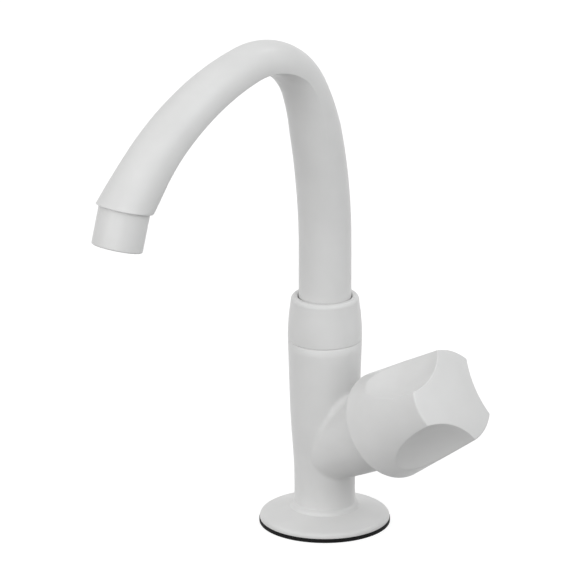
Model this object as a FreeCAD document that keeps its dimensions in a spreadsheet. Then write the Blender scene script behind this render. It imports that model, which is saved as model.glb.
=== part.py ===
# Plastic kitchen tap: pillar body with an inclined compression valve, a three-lobed knob and a
# swivelling swan-neck spout. Millimetres, +Z up. The origin is the centre of the deck face, on the
# column's axis. The spout points along -Y and the valve's axis rises towards +X.
import FreeCAD, Part
import math
import os
import Sketcher

os.makedirs("parts", exist_ok=True)
doc = FreeCAD.newDocument("KitchenTap")

# Driving dimensions. Heights without another note are above the deck face. The collar's, the spout
# foot's and the socket floor's are above the seam between body and collar, so they move with it.
SIZES = {
    # base and column
    "gasket_radius": 27.5,
    "gasket_thickness": 1.7,
    "flange_radius": 27.25,
    "flange_wall_height": 1.0,
    "flange_edge_radius": 1.6,
    "flange_edge_run": 1.25,
    "flange_edge_rise": 1.3,
    "flange_crown_height": 6.1,
    "bead_radius": 15.0,
    "bead_height": 2.0,
    "bead_round_radius": 1.25,
    "bead_top_radius": 13.9,
    "foot_fillet_radius": 1.8,
    "foot_fillet_height": 1.5,
    "column_foot_radius": 12.7,
    "column_foot_height": 14.0,
    "column_foot_sweep": 270.0,
    "column_waist_height": 36.0,
    "column_waist_radius": 13.6,
    "column_waist_sweep": 355.0,
    "column_shoulder_height": 54.0,
    "column_shoulder_radius": 14.65,
    "column_top_radius": 15.5,
    "seam_height": 81.2,
    "seam_chamfer": 0.3,
    "spigot_radius": 13.0,
    "spigot_height": 10.8,
    # threaded shank and its fixings below the deck
    "shank_radius": 10.478,
    "shank_length": 48.0,
    "shank_chamfer": 1.2,
    "deck_thickness": 20.0,
    "washer_radius": 20.0,
    "washer_thickness": 2.0,
    "nut_width": 32.0,
    "nut_height": 9.0,
    "nut_flange_radius": 18.5,
    "nut_flange_height": 3.0,
    "thread_gap": 0.12,
    # waterway of the body
    "inlet_radius": 6.5,
    "inlet_depth": 56.0,
    "riser_radius": 5.0,
    "outlet_floor_height": 42.0,
    "outlet_radius": 9.0,
    "socket_floor_height": -19.2,
    # valve branch, measured along its axis from the column's axis
    "handle_height": 29.7,
    "handle_tilt": 31.0,
    "branch_root_radius": 11.9,
    "branch_end_radius": 17.4,
    "branch_length": 47.5,
    "branch_bulge_radius": 600.0,
    "branch_blend_radius": 3.0,
    "seat_floor": 5.0,
    "seat_rim_height": 1.2,
    "seat_rim_radius": 5.2,
    "seat_bore_radius": 4.0,
    "chamber_radius": 9.4,
    "chamber_length": 15.0,
    "headwork_bore_radius": 10.4,
    "headwork_bore_end": 34.0,
    "branch_counterbore_radius": 13.6,
    # headwork
    "headwork_gap": 0.1,
    "headwork_setback": 0.5,
    "headwork_chamfer": 0.8,
    "headwork_seal_thickness": 1.0,
    "headwork_seal_play": 0.4,
    "headwork_hex_width": 22.0,
    "headwork_hex_height": 6.0,
    "neck_radius": 8.0,
    "neck_length": 9.0,
    "packing_depth": 4.0,
    "packing_radius": 6.2,
    "packing_thickness": 2.8,
    "packing_play": 0.05,
    "gland_hex_width": 17.0,
    "gland_reach": 6.75,
    "gland_nose_play": 0.15,
    "gland_cap_thickness": 3.0,
    # spindle
    "spindle_radius": 4.0,
    "spindle_gap": 0.08,
    "spindle_thread_radius": 6.8,
    "spindle_thread_length": 12.0,
    "spindle_thread_start": 14.0,
    "spindle_foot_radius": 5.4,
    "spindle_foot_start": 10.6,
    "spindle_spline_start": 54.0,
    "spindle_spline_length": 13.0,
    "spline_depth": 0.5,
    "spline_slot_width": 0.9,
    "spline_count": 12,
    # jumper that carries the valve washer
    "closing_gap": 0.05,
    "valve_washer_radius": 6.8,
    "valve_washer_thickness": 2.4,
    "jumper_wall": 0.8,
    "jumper_plate_thickness": 1.8,
    "jumper_stem_radius": 2.9,
    "jumper_stem_length": 9.0,
    "jumper_gap": 0.1,
    "jumper_end_gap": 1.0,
    "jumper_stud_radius": 1.5,
    "jumper_stud_proud": 0.3,
    "washer_nut_width": 5.0,
    "washer_nut_height": 1.8,
    # knob
    "knob_rear": 43.7,
    "knob_front": 86.4,
    "knob_dome_height": 1.4,
    "knob_dome_radius": 150.0,
    "knob_flat_radius": 4.0,
    "knob_rear_radius": 22.8,
    "knob_front_radius": 20.7,
    "knob_edge_radius": 0.9,
    "knob_wall": 2.2,
    "scallop_floor_radius": 12.7,
    "scallop_sweep_radius": 69.0,
    "scallop_section_radius": 21.0,
    "scallop_turn": 92.0,
    "hub_radius": 6.6,
    "hub_start": 55.0,
    "hub_play": 0.05,
    "rib_thickness": 1.8,
    "rib_start": 62.0,
    # collar that holds the spout down
    "collar_barrel_radius": 15.55,
    "collar_barrel_height": 0.8,
    "collar_barrel_sweep": 105.0,
    "collar_neck_radius": 14.3,
    "collar_neck_height": 17.1,
    "collar_shoulder_radius": 2.2,
    "collar_rim_radius": 13.2,
    "collar_rim_height": 19.1,
    "collar_mouth_radius": 11.3,
    "collar_mouth_chamfer": 0.5,
    "collar_lip_thickness": 6.5,
    # spout
    "tube_radius": 11.0,
    "tube_gap": 0.09,
    "tube_wall": 2.4,
    "tube_foot_height": -17.2,
    "tube_foot_bore": 7.2,
    "tube_foot_chamfer": 0.8,
    "waterway_radius": 8.4,
    "ring_thickness": 1.6,
    "ring_groove_depth": 1.2,
    "ring_play": 0.1,
    "ring_edge_play": 0.2,
    "ring_split": 1.6,
    "band_play": 0.05,
    "bearing_height": 2.8,
    "bearing_length": 5.0,
    "groove_depth": 1.9,
    "groove_width": 2.4,
    "oring_play": 0.02,
    "lower_groove_height": -13.2,
    "upper_groove_height": -5.2,
    "spout_start_height": 22.8,
    "spout_straight_height": 42.5,
    "straight_flat": 15.7,
    "lean_bend": 215.3,
    "lean_turn": 13.5,
    "lean_radius": 11.0,
    "lean_flat": 9.2,
    "crook_bend": 93.9,
    "crook_turn": 11.7,
    "crook_radius": 10.25,
    "crook_flat": 6.6,
    "arch_bend": 32.4,
    "arch_turn": 77.3,
    "arch_radius": 9.25,
    "arch_flat": 6.9,
    "fall_bend": 106.9,
    "fall_turn": 34.2,
    "fall_radius": 10.75,
    "fall_flat": 9.5,
    "tip_run": 18.0,
    "tip_radius": 12.05,
    "outlet_tilt": 15.9,
    "flat_crease": 7.0,
    "section_turn": 7.0,
    # nozzle and aerator, measured down the outlet's axis from the end of the spout
    "stub_radius": 9.4,
    "stub_length": 6.0,
    "stub_chamfer": 0.4,
    "stub_bore": 7.4,
    "nozzle_radius": 10.7,
    "nozzle_length": 16.4,
    "nozzle_edge": 0.8,
    "nozzle_joint_gap": 0.05,
    "nozzle_bore_radius": 8.4,
    "nozzle_lip_radius": 7.6,
    "nozzle_lip_thickness": 1.4,
    "nozzle_seal_thickness": 1.2,
    "nozzle_seal_bore": 7.7,
    "insert_gap": 0.1,
    "insert_length": 5.0,
    "insert_wall": 0.8,
    "insert_fin_thickness": 0.7,
    "insert_fin_count": 12,
    "insert_fin_setback": 2.0,
    "insert_core_radius": 2.4,
    "flow_disc_thickness": 1.8,
    "flow_hole_radius": 0.8,
    "flow_hole_circle": 5.6,
    "flow_hole_count": 10,
    "screen_thickness": 0.5,
    # how far moulded pieces run into each other, and cutters past the face that they open
    "overlap": 0.5,
    "beyond": 1.0,
}

sheet = doc.addObject("Spreadsheet::Sheet", "sizes")
for row, (alias, value) in enumerate(SIZES.items(), start=1):
    sheet.set(f"A{row}", str(value))
    sheet.setAlias(f"A{row}", alias)
doc.recompute()


class Size:
    """A number that also knows the sheet formula it comes from."""

    def __init__(self, value, formula):
        self.value = float(value)
        self.formula = formula

    def __add__(self, other):
        other = as_size(other)
        return Size(self.value + other.value, f"({self.formula} + {other.formula})")

    def __sub__(self, other):
        other = as_size(other)
        return Size(self.value - other.value, f"({self.formula} - {other.formula})")

    def __rsub__(self, other):
        return as_size(other) - self

    def __mul__(self, other):
        other = as_size(other)
        return Size(self.value * other.value, f"({self.formula} * {other.formula})")

    def __truediv__(self, other):
        other = as_size(other)
        return Size(self.value / other.value, f"({self.formula} / {other.formula})")

    def __neg__(self):
        return Size(-self.value, f"(0 - {self.formula})")

    __radd__ = __add__
    __rmul__ = __mul__


def as_size(number):
    return number if isinstance(number, Size) else Size(number, repr(float(number)))


class Sheet:
    """Reads a cell by its alias, as in size.tube_radius."""

    def __getattr__(self, alias):
        return Size(sheet.get(alias), f"sizes.{alias}")


size = Sheet()


def bind(obj, **formulas):
    """Ties each named property to its formula."""
    for name, amount in formulas.items():
        obj.setExpression(name.replace("_of_", "."), as_size(amount).formula)


def along_valve(obj):
    """Stands an object, made about its own Z axis, on the valve's inclined axis."""
    turn = 90 - size.handle_tilt
    place_up = FreeCAD.Vector(0, 0, size.handle_height.value)
    tilt = FreeCAD.Rotation(FreeCAD.Vector(0, 1, 0), turn.value)
    obj.Placement = FreeCAD.Placement(place_up, tilt)
    obj.setExpression("Placement.Base.z", size.handle_height.formula)
    obj.setExpression("Placement.Rotation.Angle", turn.formula)
    return obj


def origin_plane(body, role):
    return next(item for item in body.Origin.OriginFeatures if item.Role == role)


def arc_between(start, end, radius):
    """The arc from start to end, bulging to the right of the way travelled if radius is above zero.
    Returns it with the numbers of its start and end points."""
    chord = end - start
    half = chord.Length / 2
    reach = math.sqrt(max(radius * radius - half * half, 0.0))
    left = FreeCAD.Vector(-chord.y, chord.x, 0).normalize()
    side = 1 if radius > 0 else -1
    centre = (start + end) / 2 + left * reach * side
    angles = [math.atan2(point.y - centre.y, point.x - centre.x) for point in (start, end)]
    circle = Part.Circle(centre, FreeCAD.Vector(0, 0, 1), abs(radius))
    if side > 0:
        return Part.ArcOfCircle(circle, angles[0], angles[1]), 1, 2
    return Part.ArcOfCircle(circle, angles[1], angles[0]), 2, 1


def sketch_outline(body, name, role, corners):
    """A closed sketch through the corners (across, up). A third item is the radius of the arc that
    leads on to the next corner, above zero where it bulges to the right of the way travelled."""
    sketch = body.newObject("Sketcher::SketchObject", name)
    sketch.AttachmentSupport = [(origin_plane(body, role), "")]
    sketch.MapMode = "FlatFace"
    points = [FreeCAD.Vector(as_size(c[0]).value, as_size(c[1]).value, 0) for c in corners]
    ends = []
    for index, corner in enumerate(corners):
        start, end = points[index], points[(index + 1) % len(points)]
        if len(corner) == 3:
            arc, first, last = arc_between(start, end, as_size(corner[2]).value)
            edge = sketch.addGeometry(arc, False)
            ends.append((edge, first, last))
        else:
            edge = sketch.addGeometry(Part.LineSegment(start, end), False)
            ends.append((edge, 1, 2))
    for index, (edge, first, last) in enumerate(ends):
        following = ends[(index + 1) % len(ends)]
        sketch.addConstraint(Sketcher.Constraint("Coincident", edge, last, following[0], following[1]))
    for index, corner in enumerate(corners):
        edge, first, last = ends[index]
        for kind, axis, amount in (("DistanceX", -2, corner[0]), ("DistanceY", -1, corner[1])):
            amount = as_size(amount)
            if amount.formula == "0.0":
                sketch.addConstraint(Sketcher.Constraint("PointOnObject", edge, first, axis))
                continue
            rule = Sketcher.Constraint(kind, -1, 1, edge, first, amount.value)
            sketch.setExpression(f"Constraints[{sketch.addConstraint(rule)}]", amount.formula)
        if len(corner) == 3:
            bend = as_size(corner[2])
            bend = bend if bend.value > 0 else -bend
            rule = Sketcher.Constraint("Radius", edge, bend.value)
            sketch.setExpression(f"Constraints[{sketch.addConstraint(rule)}]", bend.formula)
    return sketch


def turned(name, corners):
    """A body revolved about its own Z axis from a half section of corners (radius, height)."""
    body = doc.addObject("PartDesign::Body", name)
    body.Label = name
    sketch = sketch_outline(body, name + "_outline", "XZ_Plane", corners)
    turning = body.newObject("PartDesign::Revolution", name + "_turning")
    turning.Profile = sketch
    turning.ReferenceAxis = (sketch, ["V_Axis"])
    turning.Angle = 360
    body.Tip = turning
    doc.recompute()
    return body


def cylinder(name, radius, height, base=0):
    rod = doc.addObject("Part::Cylinder", name)
    bind(rod, Radius=radius, Height=height, Placement_of_Base_of_z=base)
    return rod


def cut(name, base, tool):
    result = doc.addObject("Part::Cut", name)
    result.Base = base
    result.Tool = tool
    return result


def fuse(name, *pieces):
    result = doc.addObject("Part::MultiFuse", name)
    result.Shapes = list(pieces)
    result.Refine = True
    return result


def hexagon(name, width, height, base=0):
    """A hexagonal prism, width across its flats."""
    prism = doc.addObject("Part::Prism", name)
    prism.Polygon = 6
    bind(prism, Circumradius=width / math.sqrt(3), Height=height, Placement_of_Base_of_z=base)
    return prism


def polar_copies(name, source, count):
    """Copies of a solid turned evenly about Z, as one compound."""
    copies = doc.addObject("Part::Feature", name)
    step = 360.0 / count
    shapes = []
    for index in range(count):
        shape = source.Shape.copy()
        shape.rotate(FreeCAD.Vector(0, 0, 0), FreeCAD.Vector(0, 0, 1), index * step)
        shapes.append(shape)
    copies.Shape = Part.makeCompound(shapes)
    return copies


nodes = {}


def keep(name, obj):
    """Names a finished sub-part, which is written to its own file."""
    obj.Label = name
    nodes[name] = obj
    return obj


# Body: shank, flange, column and threaded spigot are one revolved moulding.
spigot_top = size.seam_height + size.spigot_height
crown_top = size.flange_crown_height + size.bead_height
wall_top = size.gasket_thickness + size.flange_wall_height
column = turned("column", [
    (0, -size.shank_length),
    (size.shank_radius - size.shank_chamfer, -size.shank_length),
    (size.shank_radius, size.shank_chamfer - size.shank_length),
    (size.shank_radius, size.gasket_thickness),
    (size.flange_radius, size.gasket_thickness),
    (size.flange_radius, wall_top, size.flange_edge_radius),
    (size.flange_radius - size.flange_edge_run, wall_top + size.flange_edge_rise),
    (size.bead_radius, size.flange_crown_height, size.bead_round_radius),
    (size.bead_top_radius, crown_top, -size.foot_fillet_radius),
    (size.column_foot_radius, crown_top + size.foot_fillet_height),
    (size.column_foot_radius, size.column_foot_height, -size.column_foot_sweep),
    (size.column_waist_radius, size.column_waist_height, size.column_waist_sweep),
    (size.column_shoulder_radius, size.column_shoulder_height),
    (size.column_top_radius, size.seam_height - size.seam_chamfer),
    (size.column_top_radius - size.seam_chamfer, size.seam_height),
    (size.spigot_radius, size.seam_height),
    (size.spigot_radius, spigot_top),
    (0, spigot_top),
])
branch = along_valve(turned("branch", [
    (0, 0),
    (size.branch_root_radius, 0, size.branch_bulge_radius),
    (size.branch_end_radius, size.branch_length - size.seam_chamfer),
    (size.branch_end_radius - size.seam_chamfer, size.branch_length),
    (0, size.branch_length),
]))
moulding = fuse("moulding", column, branch)

# Waterway: the inlet rises to the back of the valve seat, and the outlet starts above the chamber.
inlet_top = size.inlet_depth - size.shank_length
inlet = turned("inlet", [
    (0, -size.shank_length - size.beyond),
    (size.inlet_radius, -size.shank_length - size.beyond),
    (size.inlet_radius, inlet_top),
    (size.riser_radius, inlet_top + (size.inlet_radius - size.riser_radius)),
    (size.riser_radius, size.handle_height),
    (0, size.handle_height),
])
socket_radius = size.tube_radius + size.tube_gap
socket_floor = size.seam_height + size.socket_floor_height
outlet = turned("outlet", [
    (0, size.outlet_floor_height),
    (size.outlet_radius, size.outlet_floor_height),
    (size.outlet_radius, socket_floor),
    (socket_radius, socket_floor),
    (socket_radius, spigot_top + size.beyond),
    (0, spigot_top + size.beyond),
])
seat_top = size.seat_floor + size.seat_rim_height
chamber_end = size.seat_floor + size.chamber_length
valve_chamber = along_valve(turned("valve_chamber", [
    (0, seat_top),
    (size.seat_rim_radius, seat_top),
    (size.seat_rim_radius, size.seat_floor),
    (size.chamber_radius, size.seat_floor),
    (size.chamber_radius, chamber_end),
    (size.headwork_bore_radius, chamber_end),
    (size.headwork_bore_radius, size.headwork_bore_end),
    (size.branch_counterbore_radius, size.headwork_bore_end),
    (size.branch_counterbore_radius, size.branch_length + size.beyond),
    (0, size.branch_length + size.beyond),
]))
seat_bore = along_valve(turned("seat_bore", [
    (0, -size.seat_bore_radius),
    (size.seat_bore_radius, -size.seat_bore_radius),
    (size.seat_bore_radius, seat_top + size.beyond),
    (0, seat_top + size.beyond),
]))
doc.recompute()
blended = doc.addObject("Part::Fillet", "blended")
blended.Base = moulding


def joins_branch(edge):
    """True for the line where the outside of the branch leaves the column."""
    box = edge.BoundBox
    return box.ZMin > size.column_foot_height.value and box.ZMax < size.seam_height.value - 1 \
        and box.XMax < size.column_top_radius.value and box.YLength > size.column_foot_radius.value / 2


blended.Edges = [(number, size.branch_blend_radius.value, size.branch_blend_radius.value)
                 for number, edge in enumerate(moulding.Shape.Edges, start=1) if joins_branch(edge)]
waterway = fuse("waterway", inlet, outlet, valve_chamber, seat_bore)
keep("tap_body", cut("body_bored", blended, waterway))

# Fixings: black gasket above the deck, washer and flanged back nut below it.
shank_hole = size.shank_radius + size.thread_gap
keep("deck_gasket", turned("gasket", [
    (shank_hole, 0),
    (size.gasket_radius, 0),
    (size.gasket_radius, size.gasket_thickness),
    (shank_hole, size.gasket_thickness),
]))
washer_bottom = -size.deck_thickness - size.washer_thickness
keep("shank_washer", turned("washer", [
    (shank_hole, washer_bottom),
    (size.washer_radius, washer_bottom),
    (size.washer_radius, -size.deck_thickness),
    (shank_hole, -size.deck_thickness),
]))
nut_bottom = washer_bottom - size.nut_height
nut_flange = cylinder("nut_flange", size.nut_flange_radius, size.nut_flange_height,
                      washer_bottom - size.nut_flange_height)
nut_hex = hexagon("nut_hex", size.nut_width, size.nut_height, nut_bottom)
nut_bore = cylinder("nut_bore", shank_hole, size.nut_height + 2 * size.beyond, nut_bottom - size.beyond)
keep("back_nut", cut("nut", fuse("nut_blank", nut_flange, nut_hex), nut_bore))

# Headwork: hexagonal bonnet screwed into the branch, with its seal, spindle packing and gland nut.
hex_base = size.headwork_bore_end + size.headwork_seal_thickness
hex_top = hex_base + size.headwork_hex_height
neck_top = hex_top + size.neck_length
neck_bore = size.spindle_radius + size.spindle_gap
thread_bore = size.spindle_thread_radius + size.headwork_gap
screw_radius = size.headwork_bore_radius - size.headwork_gap
bonnet_start = chamber_end + size.headwork_setback
thread_room = hex_base - (thread_bore - neck_bore) / 2
bonnet_turned = along_valve(turned("bonnet_turned", [
    (thread_bore, bonnet_start),
    (screw_radius - size.headwork_chamfer, bonnet_start),
    (screw_radius, bonnet_start + size.headwork_chamfer),
    (screw_radius, hex_base + size.overlap),
    (size.neck_radius, hex_base + size.overlap),
    (size.neck_radius, neck_top),
    (size.packing_radius, neck_top),
    (size.packing_radius, neck_top - size.packing_depth),
    (neck_bore, neck_top - size.packing_depth),
    (neck_bore, hex_base),
    (thread_bore, thread_room),
]))
bonnet_hex = hexagon("bonnet_hex", size.headwork_hex_width, size.headwork_hex_height, hex_base)
bonnet_hex_bore = cylinder("bonnet_hex_bore", size.neck_radius - size.overlap,
                           size.headwork_hex_height + 2 * size.beyond, hex_base - size.beyond)
bonnet_ring = along_valve(cut("bonnet_ring", bonnet_hex, bonnet_hex_bore))
keep("headwork_body", fuse("bonnet", bonnet_turned, bonnet_ring))
seal_edge = size.branch_counterbore_radius - size.headwork_seal_play
keep("headwork_seal", along_valve(turned("bonnet_seal", [
    (screw_radius + size.headwork_gap, size.headwork_bore_end),
    (seal_edge, size.headwork_bore_end),
    (seal_edge, hex_base),
    (screw_radius + size.headwork_gap, hex_base),
])))
packing_base = neck_top - size.packing_depth
packing_top = packing_base + size.packing_thickness
keep("spindle_packing", along_valve(turned("packing", [
    (neck_bore, packing_base),
    (size.packing_radius - size.packing_play, packing_base),
    (size.packing_radius - size.packing_play, packing_top),
    (neck_bore, packing_top),
])))
gland_bore = size.neck_radius + size.thread_gap
gland_base = neck_top - size.gland_reach
gland_foot = gland_base - size.beyond
nose_radius = size.packing_radius - size.gland_nose_play
gland_height = size.gland_reach + size.gland_cap_thickness
gland_hex = hexagon("gland_hex", size.gland_hex_width, gland_height, gland_base)
gland_ring = cut(
    "gland_ring",
    cylinder("gland_ring_out", gland_bore, neck_top - gland_foot, gland_foot),
    cylinder("gland_ring_in", nose_radius, neck_top - gland_foot + 2 * size.beyond, gland_foot - size.beyond))
gland_stem = cylinder("gland_stem", neck_bore, gland_height + 2 * size.beyond, gland_foot)
gland_under = cylinder("gland_under", size.packing_radius, packing_top - gland_foot, gland_foot)
gland_void = fuse("gland_void", gland_ring, gland_stem, gland_under)
keep("gland_nut", along_valve(cut("gland", gland_hex, gland_void)))

# Spindle: coarse thread in the bonnet, plain stem and splined end for the knob.
spline_end = size.spindle_spline_start + size.spindle_spline_length
thread_end = size.spindle_thread_start + size.spindle_thread_length
stem_hole = size.jumper_stem_radius + size.jumper_gap
hole_end = size.spindle_foot_start + size.jumper_stem_length + size.jumper_end_gap
spindle_blank = turned("spindle_blank", [
    (stem_hole, size.spindle_foot_start),
    (size.spindle_foot_radius, size.spindle_foot_start),
    (size.spindle_foot_radius, size.spindle_thread_start),
    (size.spindle_thread_radius, size.spindle_thread_start),
    (size.spindle_thread_radius, thread_end),
    (size.spindle_radius, thread_end),
    (size.spindle_radius, spline_end - size.spline_depth),
    (size.spindle_radius - size.spline_depth, spline_end),
    (0, spline_end),
    (0, hole_end),
    (stem_hole, hole_end),
])
spline_slot = doc.addObject("Part::Box", "spline_slot")
bind(spline_slot, Length=size.spline_depth + size.beyond, Width=size.spline_slot_width,
     Height=size.spindle_spline_length + size.beyond,
     Placement_of_Base_of_x=size.spindle_radius - size.spline_depth,
     Placement_of_Base_of_y=-size.spline_slot_width / 2, Placement_of_Base_of_z=size.spindle_spline_start)
doc.recompute()
spline_slots = polar_copies("spline_slots", spline_slot, int(size.spline_count.value))
keep("spindle", along_valve(cut("spindle_splined", spindle_blank, spline_slots)))

# Jumper, valve washer and the nut that holds it. The washer lies on the seat's rim when shut.
washer_face = seat_top + size.closing_gap
washer_back = washer_face + size.valve_washer_thickness
plate_back = washer_back + size.jumper_plate_thickness
cup_radius = size.valve_washer_radius + size.jumper_gap + size.jumper_wall
stud_end = washer_face - size.washer_nut_height - size.jumper_stud_proud
keep("jumper", along_valve(turned("jumper_turned", [
    (0, stud_end),
    (size.jumper_stud_radius, stud_end),
    (size.jumper_stud_radius, washer_back),
    (size.valve_washer_radius + size.jumper_gap, washer_back),
    (size.valve_washer_radius + size.jumper_gap, washer_face + size.jumper_wall),
    (cup_radius, washer_face + size.jumper_wall),
    (cup_radius, plate_back - size.jumper_wall / 2),
    (cup_radius - size.jumper_wall / 2, plate_back),
    (size.jumper_stem_radius, plate_back),
    (size.jumper_stem_radius, size.spindle_foot_start + size.jumper_stem_length),
    (0, size.spindle_foot_start + size.jumper_stem_length),
])))
stud_hole = size.jumper_stud_radius + size.thread_gap
keep("valve_washer", along_valve(turned("washer_disc", [
    (stud_hole, washer_face),
    (size.valve_washer_radius, washer_face),
    (size.valve_washer_radius, washer_back),
    (stud_hole, washer_back),
])))
nut_foot = washer_face - size.washer_nut_height
washer_nut_hex = hexagon("washer_nut_hex", size.washer_nut_width, size.washer_nut_height, nut_foot)
washer_nut_bore = cylinder("washer_nut_bore", stud_hole, size.washer_nut_height + 2 * size.beyond,
                           nut_foot - size.beyond)
keep("washer_nut", along_valve(cut("washer_nut_bored", washer_nut_hex, washer_nut_bore)))


# Knob: a domed cone with three scallops that start deep at the face and run out before the rear
# rim, hollow inside at an even wall, with a splined hub and three webs to its lobes.
def scallop_set(name, growth):
    """Three rings laid tangentially, whose inner side sweeps each scallop's floor."""
    ring_centre = size.scallop_floor_radius + size.scallop_sweep_radius
    rings = []
    for index in range(3):
        ring = doc.addObject("Part::Torus", f"{name}_{index + 1}")
        bind(ring, Radius1=size.scallop_sweep_radius - size.scallop_section_radius,
             Radius2=size.scallop_section_radius + growth)
        heading = size.scallop_turn.value + index * 120
        outward = FreeCAD.Vector(math.cos(math.radians(heading)), math.sin(math.radians(heading)), 0)
        tangent = FreeCAD.Vector(-outward.y, outward.x, 0)
        place = outward * ring_centre.value + FreeCAD.Vector(0, 0, size.knob_front.value)
        ring.Placement = FreeCAD.Placement(place, FreeCAD.Rotation(FreeCAD.Vector(0, 0, 1), tangent))
        rings.append(ring)
    return fuse(name, *rings)


edge = size.knob_edge_radius
knob_blank = turned("knob_blank", [
    (0, size.knob_rear),
    (size.knob_rear_radius - edge, size.knob_rear, edge),
    (size.knob_rear_radius, size.knob_rear + edge),
    (size.knob_front_radius, size.knob_front - edge, edge),
    (size.knob_front_radius - edge, size.knob_front, size.knob_dome_radius),
    (size.knob_flat_radius, size.knob_front + size.knob_dome_height),
    (0, size.knob_front + size.knob_dome_height),
])
knob_core = turned("knob_core", [
    (0, size.knob_rear - size.beyond),
    (size.knob_rear_radius - size.knob_wall, size.knob_rear - size.beyond),
    (size.knob_front_radius - size.knob_wall, size.knob_front - size.knob_wall),
    (0, size.knob_front - size.knob_wall),
])
knob_outside = cut("knob_outside", knob_blank, scallop_set("scallops", 0))
knob_inside = cut("knob_inside", knob_core, scallop_set("scallop_walls", size.knob_wall))
knob_shell = cut("knob_shell", knob_outside, knob_inside)
hub_bore = size.spindle_radius + size.hub_play
hub = turned("hub", [
    (hub_bore, size.hub_start),
    (size.hub_radius, size.hub_start),
    (size.hub_radius, size.knob_front - size.knob_wall / 2),
    (0, size.knob_front - size.knob_wall / 2),
    (0, spline_end + size.overlap),
    (hub_bore, spline_end + size.overlap),
])
rib = doc.addObject("Part::Box", "rib")
rib_foot = size.hub_radius - size.overlap
bind(rib, Length=size.knob_front_radius - size.knob_wall / 4 - rib_foot, Width=size.rib_thickness,
     Height=size.knob_front - size.rib_start - size.knob_wall / 2,
     Placement_of_Base_of_x=rib_foot, Placement_of_Base_of_y=-size.rib_thickness / 2,
     Placement_of_Base_of_z=size.rib_start)
doc.recompute()
ribs = polar_copies("ribs", rib, 3)
ribs.Placement = FreeCAD.Placement(FreeCAD.Vector(0, 0, 0),
                                   FreeCAD.Rotation(FreeCAD.Vector(0, 0, 1), size.scallop_turn.value + 60))
keep("knob", along_valve(fuse("knob_moulding", knob_shell, hub, ribs)))

# Collar: barrel-shaped nut over the column's spigot, with an inward lip above the spout's ring.
rim_top = size.seam_height + size.collar_rim_height
lip_base = rim_top - size.collar_lip_thickness
collar_bore = size.spigot_radius + size.thread_gap
keep("collar", turned("collar_turned", [
    (collar_bore, size.seam_height),
    (size.column_top_radius - size.seam_chamfer, size.seam_height),
    (size.column_top_radius, size.seam_height + size.seam_chamfer),
    (size.collar_barrel_radius, size.seam_height + size.collar_barrel_height, size.collar_barrel_sweep),
    (size.collar_neck_radius, size.seam_height + size.collar_neck_height, size.collar_shoulder_radius),
    (size.collar_rim_radius, rim_top),
    (size.collar_mouth_radius + size.collar_mouth_chamfer, rim_top),
    (size.collar_mouth_radius, rim_top - size.collar_mouth_chamfer),
    (size.collar_mouth_radius, lip_base),
    (collar_bore, lip_base),
]))

# Spout: a straight foot with ring grooves, then a swan neck lofted through sections that flatten
# on the inside of the bend.
SECTION_POINTS = 28
groove_floor = size.tube_radius - size.groove_depth
ring_floor = size.tube_radius - size.ring_groove_depth
foot_base = size.seam_height + size.tube_foot_height
lower_groove = size.seam_height + size.lower_groove_height
upper_groove = size.seam_height + size.upper_groove_height
bearing_base = size.seam_height + size.bearing_height
ring_base = spigot_top + size.ring_play
neck_base = size.seam_height + size.spout_start_height
neck_flat = size.seam_height + size.spout_straight_height
grooves = []
for base, width, floor in (
        (lower_groove, size.groove_width, groove_floor),
        (upper_groove, size.groove_width, groove_floor),
        (bearing_base, size.bearing_length, ring_floor),
        (ring_base, size.ring_thickness, ring_floor)):
    grooves += [(size.tube_radius, base), (floor, base), (floor, base + width),
                (size.tube_radius, base + width)]
spout_foot = turned("spout_foot", [
    (0, foot_base),
    (size.tube_radius - size.tube_foot_chamfer, foot_base),
    (size.tube_radius, foot_base + size.tube_foot_chamfer),
    *grooves,
    (size.tube_radius, neck_base),
    (0, neck_base),
])


def spout_stations():
    """Centre line of the swan neck in its plane, as (reach, height, angle from up, radius, flatness).
    The flatness is the radius over the flattened inner side's distance from the centre line. The last
    run is straight, and its sections turn to the outlet's plane, which cuts the tube at a slant."""
    low, high = neck_base.value, neck_flat.value
    radius = size.tube_radius.value
    flatness = radius / size.straight_flat.value
    stations = [(0.0, low, 0.0, radius, 0.0),
                (0.0, (low + high) / 2, 0.0, radius, flatness / 2),
                (0.0, high, 0.0, radius, flatness)]
    tip_turn = 180 - size.outlet_tilt - size.lean_turn - size.crook_turn - size.arch_turn - size.fall_turn
    bends = [
        (size.lean_bend, size.lean_turn, size.lean_radius, size.lean_radius / size.lean_flat),
        (size.crook_bend, size.crook_turn, size.crook_radius, size.crook_radius / size.crook_flat),
        (size.arch_bend, size.arch_turn, size.arch_radius, size.arch_radius / size.arch_flat),
        (size.fall_bend, size.fall_turn, size.fall_radius, size.fall_radius / size.fall_flat),
    ]
    for bend, turn, radius, flatness in bends:
        reach, height, start, start_radius, start_flatness = stations[-1]
        steps = math.ceil(turn.value / size.section_turn.value)
        for step in range(1, steps + 1):
            share = step / steps
            angle = start + turn.value * share
            first, last = math.radians(start), math.radians(angle)
            stations.append((
                reach + bend.value * (math.cos(first) - math.cos(last)),
                height + bend.value * (math.sin(last) - math.sin(first)),
                angle,
                start_radius + (radius.value - start_radius) * share,
                start_flatness + (flatness.value - start_flatness) * share))
    reach, height, start, start_radius, start_flatness = stations[-1]
    heading = math.radians(start)
    steps = math.ceil(tip_turn.value / size.section_turn.value)
    for step in range(1, steps + 1):
        share = step / steps
        stations.append((
            reach + size.tip_run.value * share * math.sin(heading),
            height + size.tip_run.value * share * math.cos(heading),
            start + tip_turn.value * share,
            start_radius + (size.tip_radius.value - start_radius) * share,
            start_flatness * (1 - share)))
    return stations


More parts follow.
